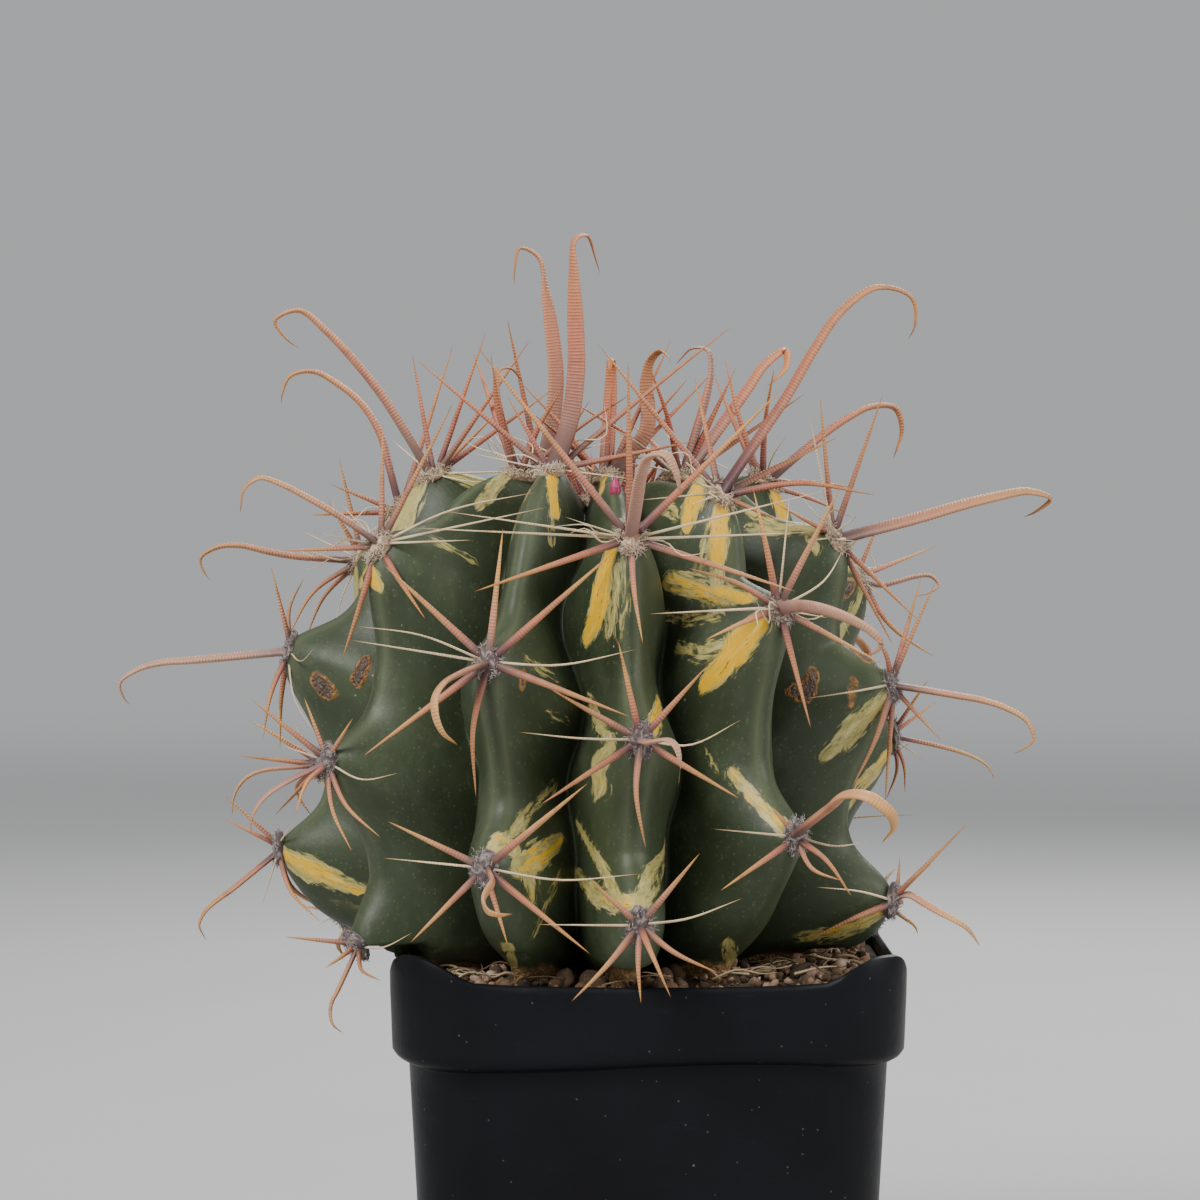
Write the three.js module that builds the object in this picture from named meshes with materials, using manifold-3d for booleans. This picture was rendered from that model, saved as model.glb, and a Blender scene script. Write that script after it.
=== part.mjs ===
// A potted, variegated fishhook barrel cactus: one ribbed globe with 39 areoles, each with its
// tuft of straight, hair-thin and hooked spines, standing in grit in a thin square nursery pot.
// Millimetres, +Z up. The origin is the middle of the pot's base, and -Y is the front.

import * as THREE from 'three';
import { mergeVertices } from 'three/addons/utils/BufferGeometryUtils.js';
import Module from 'manifold-3d';

const wasm = await Module();
wasm.setup();

// Pot, thin black plastic
const POT_HEIGHT = 100;
const POT_RIM_HALF = 56;
const POT_BAND_HEIGHT = 19;
const POT_BAND_STEP = 3.8;
const POT_BASE_HALF = 48.2;
const POT_CORNER_RADIUS = 15;
const POT_CORNER_RISE = 4.5;
const POT_WALL = 1.6;
const POT_FLOOR = 2;
const DRAIN_RADIUS = 4;
const DRAIN_OFFSET = 27;

// Grit
const SOIL_TOP = 97.5;
const SOIL_RELIEF = 1.3;
const CLEARANCE = 0.3;

// Plant: a globe of eleven ribs, a little left of the pot's middle
const PLANT_X = -12;
const RIB_AZIMUTHS = { A: 8, D: 37, G: 70, H: 104, I: 137, J: 172, K: 208, F: 244, E: 274, C: 307, B: 341.5 };
const CREST = [[46.5, 84], [47, 90], [47.5, 96], [49, 101], [54, 106], [58.5, 113], [59.8, 126], [60, 148],
  [57, 168], [50.5, 185], [42, 197], [33, 203.5], [23, 205.5], [12, 203], [4, 200.5]];
const GROOVE = [[19, 84], [22, 90], [25, 96], [30, 102], [36, 109], [40, 117], [42, 128], [42.5, 148],
  [41, 166], [37, 179], [31, 188.5], [24, 194], [16, 197.5], [9, 199], [3, 199.5]];
const FOOT_SIDE_ROOM = 40;
const FOOT_FRONT_ROOM = 46.5;
const FOOT_TOP = 101;
const BULGE_BOTTOM = 108;
const RIB_COLUMNS = 6;
const BODY_ROWS = 27;
const TUBERCLE_HEIGHT = 11.5;
const TUBERCLE_HALF_WIDTH = 9;
const TUBERCLE_ABOVE = 7.5;
const TUBERCLE_CHIN = 14;
const RIM_MARGIN = 7;
const RIM_LIFT = 0.8;

// Each rib's areoles from the crown down: a radius on the crown, or a height on the flank
const AREOLES = {
  A: [{ radius: 19 }, { height: 188.5 }, { height: 150.5 }, { height: 115 }],
  B: [{ radius: 28 }, { height: 165 }, { height: 125 }],
  C: [{ radius: 21 }, { height: 187 }, { height: 145 }, { height: 108 }],
  D: [{ radius: 41 }, { height: 175 }, { height: 131 }],
  E: [{ radius: 34 }, { height: 166 }, { height: 124 }],
  F: [{ radius: 44 }, { height: 184 }, { height: 140 }, { height: 110 }],
  G: [{ radius: 21 }, { height: 188.5 }, { height: 159.5 }, { height: 115.5 }],
  H: [{ radius: 37 }, { height: 180 }, { height: 147 }, { height: 111 }],
  I: [{ radius: 30 }, { height: 168 }, { height: 124 }],
  J: [{ radius: 20 }, { height: 188 }, { height: 148 }, { height: 112 }],
  K: [{ radius: 26 }, { height: 170 }, { height: 126 }]
};

// Where the object stands in the photograph's 1200-pixel frame
const PHOTO = { centre: 600, focalPixels: 3622, distance: 825, targetX: -10.5, targetZ: 179.6, elevation: 1 };

// Spines that the photograph shows. Each is one point, its tip, or a list of points from root to
// tip, read in the photograph's pixels. A third number is how many millimetres in front of the
// areole the point lies; without one the spine lies over the plant's skin.
const MEASURED = {
  A0: { hook: [[[650, 430, 0], [648, 388, 0], [654, 360, 2], [665, 353, 5], [673, 364, 8]]],
    stout: [[671, 340, -4], [612, 378, -6], [712, 374, -10]] },
  A1: { hook: [[[636, 505, 8], [642, 472, 15], [655, 452, 20], [670, 458, 22], [682, 497, 21]]],
    stout: [[476, 345, 8], [628, 362, 4], [783, 388, 6], [473, 592], [797, 592], [[634, 590, 5], [643, 645, 8]]],
    thin: [[443, 511], [412, 528, 9], [832, 489, 12], [[720, 536, 9], [815, 532, 10]], [565, 517, 4]] },
  A2: { hook: [[[650, 742, 8], [668, 740, 13], [677, 748, 15], [681, 770, 15]]],
    stout: [[618, 640], [708, 665], [550, 688], [540, 805], [[636, 790, 6], [646, 850, 7]], [740, 799]],
    thin: [[[575, 738, 7], [518, 732, 9]], [[690, 745, 7], [741, 720, 10]]] },
  A3: { stout: [[[655, 962, 12], [671, 998, 13]], [700, 853], [590, 880], [[610, 962, 6], [571, 1002, 7]],
    [[638, 960, 3], [641, 1004, 4]], [[670, 950, 6], [720, 974, 8]]],
    thin: [[[590, 926, 6], [537, 926, 8]], [[690, 918, 7], [743, 898, 9]]] },
  B0: { hook: [[[574, 400, 2], [575, 300, 4], [574, 243, 6], [582, 228, 4], [590, 243, 1], [600, 274, -1]]],
    stout: [[417, 360, 4], [507, 396, -2], [700, 440, 4], [733, 329, -6]],
    thin: [[465, 452, 7], [545, 487, 5], [640, 480, 6]] },
  B1: { hook: [[[462, 673, 8], [440, 688, 15], [434, 707, 18], [443, 733, 18], [458, 745, 16]]],
    stout: [[503, 528], [615, 551, 9], [383, 564], [362, 757], [[472, 740, 7], [476, 799, 8]], [631, 718]],
    thin: [[[410, 632, 2], [355, 626, 3]], [350, 640, -2], [[560, 665, 8], [638, 649, 10]]] },
  B2: { hook: [[[492, 883, 8], [483, 898, 13], [486, 910, 15], [498, 915, 16], [513, 914, 16]]],
    stout: [[588, 783], [387, 821], [410, 943], [591, 953], [508, 946, 4]],
    thin: [[383, 858], [[550, 880, 7], [641, 874, 10]]] },
  C1: { hook: [[[340, 517, 3], [290, 489, 5], [262, 478, 6], [246, 486, 6], [240, 513, 5]]],
    stout: [[383, 422, 2], [453, 403, 6], [282, 551, 2], [[358, 615, 3], [342, 660, 2]], [426, 620, 10]],
    thin: [[313, 532, -3], [340, 503, -6], [[445, 512, 8], [537, 492, 12]], [548, 507, 20], [473, 540, 14]] },
  C2: { hook: [[[293, 779, 3], [265, 797, 4], [252, 817, 5], [251, 835, 5]]],
    stout: [[304, 697, 1], [353, 718, 6], [252, 700, -4], [[303, 788, 7], [295, 815, 8]],
      [[334, 815, 4], [352, 852, 5]], [[348, 808, 7], [381, 838, 11]]],
    thin: [[281, 745, -8], [[365, 780, 8], [399, 773, 13]]] },
  C3: { hook: [[[340, 985, 4], [330, 1008, 6], [333, 1025, 7], [343, 1033, 7]]],
    stout: [[285, 937, -1], [[340, 958, 3], [325, 968, 4]], [[400, 972, 8], [440, 981, 12]]],
    thin: [[345, 942, 8], [362, 978, 7], [[390, 953, 6], [413, 949, 11]]] },
  D0: { hook: [[[790, 392, 2], [838, 315, 4], [876, 288, 5], [903, 291, 5], [918, 311, 5], [908, 340, 4]]],
    stout: [[597, 343, 5], [695, 378, -6], [[805, 483, 5], [875, 495, 3]], [838, 437, -8], [783, 522, 10]],
    thin: [[640, 500, 10], [690, 505, 14]] },
  D1: { hook: [[[805, 606, 9], [850, 619, 16], [876, 636, 18], [882, 648, 17], [867, 655, 16]]],
    stout: [[[765, 540, 5], [753, 488, 3]], [842, 484, 2], [[730, 580, 6], [688, 568, 8]],
      [[735, 626, 7], [705, 640, 10]], [811, 729, 10], [881, 663, -2]],
    thin: [[648, 614, 12], [790, 492, -2], [[815, 590, 2], [845, 547, -4]], [829, 618, 2]] },
  D2: { hook: [[[825, 812, 12], [856, 793, 24], [880, 804, 27], [895, 822, 23], [882, 843, 16]]],
    stout: [[[830, 864, 7], [852, 897, 9]], [720, 891, 9], [[810, 867, 3], [842, 881, 2]], [771, 806, 4]],
    thin: [[713, 829, 10], [[825, 846, 3], [870, 841, -1]]] },
  E0: { hook: [[[380, 392, 2], [322, 327, 2], [291, 308, 2], [275, 319, 2], [283, 336, 1], [299, 348, 0]]],
    stout: [[412, 353, 0], [486, 332, 3], [530, 340, 8], [552, 390, -8]],
    thin: [[497, 490, 12], [545, 470, 8]] },
  E1: { hook: [[[200, 659, 1], [152, 664, 1], [126, 676, 1], [118, 688, 1], [130, 705, 0]]],
    stout: [[271, 566, 4], [[290, 605, -7], [304, 578, -12]], [[272, 690, 5], [263, 738, 7]],
      [[281, 700, -5], [280, 748, -8]]],
    thin: [[[302, 662, 6], [316, 646, 12]], [[295, 690, 5], [318, 738, 12]]] },
  E2: { hook: [[[232, 889, 2], [206, 910, 2], [199, 925, 2], [206, 940, 1]]],
    stout: [[225, 796, 2], [225, 819, -7], [[298, 893, 5], [320, 922, 9]], [[305, 885, -4], [343, 914, -6]]],
    thin: [[295, 820, 9], [262, 905, 12]] },
  F0: { hook: [[[372, 416, 0], [327, 377, 0], [302, 370, 0], [286, 381, 0], [281, 404, 0]]],
    stout: [[330, 484, 2], [311, 515, 6], [453, 345, -8], [505, 405, -10]],
    thin: [[385, 508, 8]] },
  F1: { hook: [[[282, 554, 0], [240, 545, 0], [212, 549, 0], [199, 562, 0], [210, 580, 0]]],
    stout: [[339, 458, 0], [328, 500, 5], [[300, 605, 3], [288, 637, 3]], [[314, 610, -3], [305, 640, -4]]],
    thin: [[334, 628, 2], [300, 530, -9]] },
  F2: { hook: [[[252, 774, 0], [235, 793, 0], [232, 815, 0]]],
    stout: [[240, 756, -4], [250, 720, 2], [275, 815, 3], [[296, 790, -4], [313, 819, -4]]],
    thin: [[288, 715, 4]] },
  G1: { hook: [[[920, 517, 3], [980, 500, 4], [1030, 491, 4], [1048, 493, 3], [1050, 503, 2], [1024, 517, 0]]],
    stout: [[820, 397, 0], [883, 394, -3], [919, 621, 3], [775, 503, 10], [893, 645, -6]],
    thin: [[808, 409, 5], [797, 492, -3], [806, 541, 13]] },
  G2: { hook: [[[950, 695, 3], [1000, 706, 4], [1029, 724, 4], [1033, 741, 4], [1014, 754, 3]]],
    stout: [[[884, 650, 4], [868, 626, 3]], [935, 583, 1], [921, 578, -8], [[873, 740, 5], [851, 790, 8]],
      [885, 805, 1], [941, 740, -4]],
    thin: [[[845, 694, 8], [802, 699, 12]]] },
  G3: { hook: [[[900, 892, 2], [940, 912, 3], [967, 928, 3], [980, 946, 2]]],
    stout: [[966, 825, -2], [[912, 880, 5], [931, 864, 8]], [900, 857, -5], [[850, 925, 6], [810, 960, 9]],
      [877, 919, 1], [886, 903, -6]],
    thin: [[[850, 890, 7], [815, 887, 11]]] },
  H1: { hook: [[[880, 585, 0], [918, 576, 0], [937, 578, 0], [938, 588, 0], [916, 597, 1]]],
    stout: [[936, 546, -5], [[890, 625, 2], [934, 657, 0]], [880, 520, 2]],
    thin: [[888, 602, 6]] },
  H3: { hook: [[[888, 908, 0], [905, 918, 0], [915, 926, 0], [918, 934, 0]]],
    stout: [[[882, 880, -4], [896, 868, -9]], [872, 865, -12], [905, 905, -8], [858, 940, -6]],
    thin: [[880, 930, -8]] },
  F3: { hook: [[[346, 930, -14], [338, 945, -22], [344, 957, -25]]],
    stout: [[302, 906, 0], [343, 893, -3], [330, 915, -12], [[352, 938, -4], [362, 958, -5]]],
    thin: [[318, 925, -8]] },
  H2: { hook: [[[945, 748, 0], [975, 758, 0], [989, 768, 0], [994, 779, 0]]],
    stout: [[936, 702, -6], [[905, 770, 2], [905, 793, 3]], [[897, 770, -4], [886, 800, -6]], [928, 680, 4]],
    thin: [[925, 761, -9]] },
  I0: { hook: [[[757, 377, 0], [777, 351, 0], [790, 354, 1], [784, 370, 3], [767, 387, 4]]],
    stout: [[806, 393, -8], [720, 404, -4]] },
  K0: { hook: [[[556, 390, 0], [547, 300, 0], [538, 256, 0], [526, 241, 0], [516, 256, 0], [514, 286, 0]]],
    stout: [[507, 318, 4], [590, 400, -8]] }
};

// Spines that the photograph doesn't show follow the same pattern all round the plant:
// clock is degrees from straight up, lift is degrees off the skin, length is millimetres
const PATTERN = [
  { kind: 'stout', clock: 0, lift: 34, length: 30 },
  { kind: 'stout', clock: 42, lift: 30, length: 31 },
  { kind: 'stout', clock: -42, lift: 30, length: 31 },
  { kind: 'stout', clock: 125, lift: 20, length: 29 },
  { kind: 'stout', clock: -125, lift: 20, length: 29 },
  { kind: 'stout', clock: 178, lift: 16, length: 26 },
  { kind: 'thin', clock: 78, lift: 14, length: 30 },
  { kind: 'thin', clock: -80, lift: 14, length: 30 },
  { kind: 'thin', clock: 98, lift: 11, length: 26 },
  { kind: 'hook', clock: 172, lift: 68, length: 38 }
];
const CROWN_PATTERN = [
  { kind: 'stout', clock: 10, lift: 55, length: 26 },
  { kind: 'stout', clock: 80, lift: 52, length: 30 },
  { kind: 'stout', clock: -80, lift: 52, length: 30 },
  { kind: 'stout', clock: 140, lift: 40, length: 31 },
  { kind: 'stout', clock: -140, lift: 40, length: 31 },
  { kind: 'thin', clock: 105, lift: 24, length: 30 },
  { kind: 'thin', clock: -105, lift: 24, length: 30 },
  { kind: 'hook', clock: 0, lift: 66, length: 25 }
];
const SCATTER_CLOCK = 9;
const SCATTER_LENGTH = 0.16;
const CROWN_STATION = 0.8;

// Half widths and half thicknesses at the root, corners and steps of each kind of spine, and how
// much its steps crowd towards the tip
const KINDS = {
  hook: { width: 1.7, thickness: 0.95, sides: 4, steps: 8, crowding: 1.45 },
  stout: { width: 0.85, thickness: 0.6, sides: 3, steps: 2, crowding: 1 },
  thin: { width: 0.42, thickness: 0.36, sides: 3, steps: 2, crowding: 1 }
};
const CUSHION = { along: 4.6, across: 3.4, out: 2.2 };
const ROOT_DEPTH = 0.4;
const SPINE_GAP = 0.5;
const SKIN_GAP = 1.1;
const SKIN_REACH = 30;
const SKIN_SAMPLES = { rows: 64, columns: 12 };

const radians = THREE.MathUtils.degToRad;
const up = new THREE.Vector3(0, 0, 1);

// One closed solid from stacked rings of points, bottom first, with a fan at each end
function loft(rings, bottomCentre, topCentre) {
  const count = rings[0].length;
  const points = [...rings.flat(), bottomCentre, topCentre];
  const positions = new Float32Array(points.flatMap((p) => [p.x, p.y, p.z]));
  const faces = [];
  const last = (rings.length - 1) * count;
  for (let i = 0; i < count; i += 1) {
    const next = (i + 1) % count;
    for (let row = 0; row < rings.length - 1; row += 1) {
      const a = row * count;
      const b = a + count;
      faces.push(a + i, a + next, b + next, a + i, b + next, b + i);
    }
    faces.push(points.length - 2, next, i, points.length - 1, last + i, last + next);
  }
  const geometry = new THREE.BufferGeometry();
  geometry.setAttribute('position', new THREE.BufferAttribute(positions, 3));
  geometry.setIndex(faces);
  return geometry;
}

function toManifold(geometry) {
  const bare = geometry.clone();
  bare.deleteAttribute('normal');
  bare.deleteAttribute('uv');
  const merged = mergeVertices(bare, 1e-4);
  return new wasm.Manifold(new wasm.Mesh({
    numProp: 3,
    vertProperties: new Float32Array(merged.attributes.position.array),
    triVerts: new Uint32Array(merged.index.array)
  }));
}

function toGeometry(manifold) {
  const mesh = manifold.getMesh();
  const geometry = new THREE.BufferGeometry();
  geometry.setAttribute('position', new THREE.BufferAttribute(mesh.vertProperties, 3));
  geometry.setIndex(Array.from(mesh.triVerts));
  return geometry;
}

// The same random numbers on every run
function seeded(seed) {
  let state = seed;
  return () => {
    state = (state * 48271) % 2147483647;
    return state / 2147483647;
  };
}

// Pot and grit
function roundedSquare(half, radius, z, rise = 0) {
  const ring = [];
  const straight = half - radius;
  for (let corner = 0; corner < 4; corner += 1) {
    for (let step = 0; step <= 5; step += 1) {
      const angle = (corner * Math.PI) / 2 + (step * Math.PI) / 10;
      const x = Math.cos(angle) * radius + straight * (corner === 0 || corner === 3 ? 1 : -1);
      const y = Math.sin(angle) * radius + straight * (corner < 2 ? 1 : -1);
      const cornerness = THREE.MathUtils.smoothstep(Math.min(Math.abs(x), Math.abs(y)) / half, 0.64, 0.88);
      ring.push(new THREE.Vector3(x, y, z + rise * cornerness));
    }
    const [x0, y0] = [ring[ring.length - 1].x, ring[ring.length - 1].y];
    for (const along of [0.25, 0.5, 0.75]) {
      const turn = 2 * straight * along;
      const x = corner === 0 ? x0 - turn : corner === 2 ? x0 + turn : x0;
      const y = corner === 1 ? y0 - turn : corner === 3 ? y0 + turn : y0;
      ring.push(new THREE.Vector3(x, y, z));
    }
  }
  return ring;
}

const BAND_BOTTOM = POT_HEIGHT - POT_BAND_HEIGHT;
const NECK_HALF = POT_RIM_HALF - POT_BAND_STEP;

function potGeometry() {
  const radius = POT_CORNER_RADIUS;
  const inner = radius - POT_WALL;
  const rings = [
    roundedSquare(POT_BASE_HALF - 1, radius - 1, 0),
    roundedSquare(POT_BASE_HALF, radius, 1),
    roundedSquare(NECK_HALF, radius, BAND_BOTTOM),
    roundedSquare(NECK_HALF + 2.6, radius, BAND_BOTTOM + 0.8),
    roundedSquare(POT_RIM_HALF - 0.2, radius, BAND_BOTTOM + 4),
    roundedSquare(POT_RIM_HALF, radius, POT_HEIGHT - 0.6, POT_CORNER_RISE),
    roundedSquare(POT_RIM_HALF - 0.6, radius, POT_HEIGHT, POT_CORNER_RISE),
    roundedSquare(POT_RIM_HALF - POT_WALL, inner, POT_HEIGHT - 0.5, POT_CORNER_RISE),
    roundedSquare(POT_RIM_HALF - POT_WALL - 0.2, inner, BAND_BOTTOM + 4.6),
    roundedSquare(NECK_HALF - POT_WALL, inner, BAND_BOTTOM),
    roundedSquare(POT_BASE_HALF - POT_WALL, inner, POT_FLOOR)
  ];
  const shell = loft(rings, new THREE.Vector3(0, 0, 0), new THREE.Vector3(0, 0, POT_FLOOR));
  let pot = toManifold(shell);
  for (const [sx, sy] of [[1, 1], [-1, 1], [-1, -1], [1, -1]]) {
    const drain = new THREE.CylinderGeometry(DRAIN_RADIUS, DRAIN_RADIUS, POT_FLOOR * 3, 12);
    drain.rotateX(Math.PI / 2).translate(sx * DRAIN_OFFSET, sy * DRAIN_OFFSET, POT_FLOOR / 2);
    pot = pot.subtract(toManifold(drain));
  }
  return toGeometry(pot);
}

function soilRelief(x, y) {
  return SOIL_RELIEF * (Math.sin(x * 0.31 + 1.7) * Math.cos(y * 0.27) + 0.6 * Math.sin(x * 0.53 + y * 0.61));
}

function soilSolid(hole) {
  const inner = POT_CORNER_RADIUS - POT_WALL - CLEARANCE;
  const bandInner = POT_RIM_HALF - POT_WALL - 0.2 - CLEARANCE;
  const rings = [
    roundedSquare(POT_BASE_HALF - POT_WALL - CLEARANCE, inner, POT_FLOOR + CLEARANCE),
    roundedSquare(NECK_HALF - POT_WALL - CLEARANCE, inner, BAND_BOTTOM + CLEARANCE),
    roundedSquare(bandInner - 0.2, inner, BAND_BOTTOM + 5),
    roundedSquare(bandInner, inner, SOIL_TOP - 1.5)
  ];
  for (const scale of [0.94, 0.8, 0.62, 0.4]) {
    const ring = roundedSquare(bandInner * scale, inner * scale, SOIL_TOP);
    rings.push(ring.map((p) => new THREE.Vector3(p.x, p.y, SOIL_TOP + soilRelief(p.x, p.y))));
  }
  const solid = loft(rings, new THREE.Vector3(0, 0, POT_FLOOR + CLEARANCE), new THREE.Vector3(0, 0, SOIL_TOP));
  return toManifold(solid).subtract(hole);
}

// The ribbed globe
const ribNames = Object.keys(RIB_AZIMUTHS);
const crestCurve = profileCurve(CREST);
const grooveCurve = profileCurve(GROOVE);
const crestLength = crestCurve.getLength();

function profileCurve(pairs) {
  return new THREE.CatmullRomCurve3(pairs.map(([r, z]) => new THREE.Vector3(r, 0, z)), false, 'centripetal');
}

// How far along the crest, 0 in the grit and 1 at the crown, an areole sits
function stationOf({ radius, height }) {
  let best = 0;
  let least = Infinity;
  for (let i = 0; i <= 400; i += 1) {
    const p = crestCurve.getPointAt(i / 400);
    const miss = radius === undefined ? Math.abs(p.z - height) : Math.abs(p.x - radius);
    const allowed = radius === undefined || i / 400 > 0.6;
    if (miss < least && allowed) {
      best = i / 400;
      least = miss;
    }
  }
  return best;
}

const stations = Object.fromEntries(ribNames.map((rib) => [rib, AREOLES[rib].map(stationOf)]));

function meridianNormal(t) {
  const tangent = crestCurve.getTangentAt(t);
  return new THREE.Vector3(tangent.z, 0, -tangent.x);
}

function tubercleSize(t) {
  return TUBERCLE_HEIGHT * THREE.MathUtils.smoothstep(1 - t, 0, 0.42) * THREE.MathUtils.smoothstep(t, 0.02, 0.18);
}

// How far a rib's foot can reach out inside the pot
function footRoom(azimuth) {
  const [x, y] = [Math.sin(azimuth), -Math.cos(azimuth)];
  return Math.min((FOOT_SIDE_ROOM - Math.sign(x) * PLANT_X) / Math.abs(x), FOOT_FRONT_ROOM / Math.abs(y));
}

// A point of the skin: u runs from -0.5 to 0.5 across a rib, t from the grit to the crown
function skinPoint(rib, u, t) {
  const index = ribNames.indexOf(rib);
  const beside = ribNames[(index + (u < 0 ? ribNames.length - 1 : 1)) % ribNames.length];
  const gap = (((RIB_AZIMUTHS[beside] - RIB_AZIMUTHS[rib]) * (u < 0 ? -1 : 1)) % 360 + 360) % 360;
  const azimuth = radians(RIB_AZIMUTHS[rib] + u * gap);
  const crest = crestCurve.getPointAt(t);
  const groove = grooveCurve.getPointAt(t);
  const swell = THREE.MathUtils.smoothstep(crest.z, FOOT_TOP - 1, BULGE_BOTTOM);
  const roundness = Math.cos(Math.PI * u) ** THREE.MathUtils.lerp(2, 0.85, swell);
  if (crest.z < FOOT_TOP + 4) {
    const freed = 60 * THREE.MathUtils.smoothstep(crest.z, FOOT_TOP - 3, FOOT_TOP + 4);
    crest.x = Math.min(crest.x, footRoom(azimuth) + freed);
  }
  const across = u * radians(gap) * crest.x;
  let bump = 0;
  for (const station of stations[rib]) {
    const along = (t - station) * crestLength;
    const reach = along > 0 ? TUBERCLE_ABOVE : TUBERCLE_CHIN;
    const shape = Math.exp(-((along / reach) ** 2) - (across / TUBERCLE_HALF_WIDTH) ** 2);
    bump = Math.max(bump, shape * tubercleSize(station));
  }
  const p = groove.lerp(crest, roundness).addScaledVector(meridianNormal(t), bump * swell);
  return overRim(new THREE.Vector3(PLANT_X + p.x * Math.sin(azimuth), -p.x * Math.cos(azimuth), p.z));
}

// The swollen ribs bulge out over the pot's rim without touching it
function overRim(point) {
  const [x, y] = [Math.abs(point.x), Math.abs(point.y)];
  if (Math.max(x, y) > POT_RIM_HALF - RIM_MARGIN) {
    const corner = Math.min(x, y) > POT_RIM_HALF - 2 * POT_CORNER_RADIUS ? POT_CORNER_RISE : 0;
    point.z = Math.max(point.z, POT_HEIGHT + corner + RIM_LIFT);
  }
  return point;
}

function bodyGeometry(rows, columns) {
  const rings = [];
  for (let row = 0; row < rows; row += 1) {
    const ring = [];
    for (const rib of ribNames) {
      for (let column = 0; column < columns; column += 1) {
        ring.push(skinPoint(rib, column / columns - 0.5, row / (rows - 1)));
      }
    }
    rings.push(ring);
  }
  const foot = new THREE.Vector3(PLANT_X, 0, CREST[0][1]);
  const crown = new THREE.Vector3(PLANT_X, 0, GROOVE[GROOVE.length - 1][1] - 0.5);
  return loft(rings, foot, crown);
}

// The same body, grown by the clearance that touching pieces keep
function grown(geometry, distance) {
  const larger = geometry.clone();
  larger.computeVertexNormals();
  const position = larger.attributes.position;
  const normal = larger.attributes.normal;
  for (let i = 0; i < position.count; i += 1) {
    position.setXYZ(i, position.getX(i) + normal.getX(i) * distance, position.getY(i) + normal.getY(i) * distance,
      position.getZ(i) + normal.getZ(i) * distance);
  }
  return larger;
}

// Spines
function areoleFrame(rib, order) {
  const t = stations[rib][order];
  const azimuth = radians(RIB_AZIMUTHS[rib]);
  const flat = meridianNormal(t);
  const out = new THREE.Vector3(flat.x * Math.sin(azimuth), -flat.x * Math.cos(azimuth), flat.z).normalize();
  const side = new THREE.Vector3(Math.cos(azimuth), Math.sin(azimuth), 0);
  const along = new THREE.Vector3().crossVectors(out, side).negate();
  if (along.dot(up) < 0) {
    along.negate();
  }
  return { name: `${rib}${order}`, t, out, side, along, place: skinPoint(rib, 0, t) };
}

// The point at a pixel of the photograph whose depth from the front is y
function photoPoint(px, py, y) {
  const elevation = radians(PHOTO.elevation);
  const view = new THREE.Vector3(0, Math.cos(elevation), -Math.sin(elevation));
  const top = new THREE.Vector3(0, Math.sin(elevation), Math.cos(elevation));
  const eye = new THREE.Vector3(PHOTO.targetX, 0, PHOTO.targetZ).addScaledVector(view, -PHOTO.distance);
  const ray = view.clone().addScaledVector(top, (PHOTO.centre - py) / PHOTO.focalPixels);
  ray.x += (px - PHOTO.centre) / PHOTO.focalPixels;
  return eye.addScaledVector(ray, (y - eye.y) / ray.y);
}

const SKIN_LIFT = 0.24;
const SKIN_DEPTH_LIMIT = 14;

function measuredPoint(areole, [px, py, toward]) {
  if (toward !== undefined) {
    return photoPoint(px, py, areole.place.y - toward);
  }
  const flat = photoPoint(px, py, areole.place.y).sub(areole.place);
  const slope = (areole.out.x * flat.x + areole.out.z * flat.z) / -areole.out.y;
  const depth = THREE.MathUtils.clamp(-slope, -SKIN_DEPTH_LIMIT, SKIN_DEPTH_LIMIT) + SKIN_LIFT * flat.length();
  return photoPoint(px, py, areole.place.y - depth);
}

function direction(areole, clock, lift) {
  return new THREE.Vector3()
    .addScaledVector(areole.along, Math.cos(radians(clock)) * Math.cos(radians(lift)))
    .addScaledVector(areole.side, Math.sin(radians(clock)) * Math.cos(radians(lift)))
    .addScaledVector(areole.out, Math.sin(radians(lift)));
}

function patternRoute(areole, { kind, clock, lift, length }, random) {
  const turn = clock + (random() - 0.5) * 2 * SCATTER_CLOCK;
  const reach = length * (1 + (random() - 0.5) * 2 * SCATTER_LENGTH);
  const heading = direction(areole, turn, lift + (random() - 0.5) * SCATTER_CLOCK);
  const fall = new THREE.Vector3(areole.out.x, areole.out.y, 0).setLength(0.6).sub(up);
  fall.addScaledVector(heading, -fall.dot(heading)).normalize();
  const at = (share, drop, back) => areole.place.clone().addScaledVector(heading, reach * share)
    .addScaledVector(fall, reach * drop).addScaledVector(areole.out, -reach * back);
  if (kind === 'hook') {
    return [at(0.5, -0.04, 0), at(0.86, -0.02, 0), at(1.02, 0.06, 0), at(1.04, 0.2, 0.05), at(0.93, 0.31, 0.1)];
  }
  return [at(0.55, -0.02, 0), at(1, 0.02, 0)];
}

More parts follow.
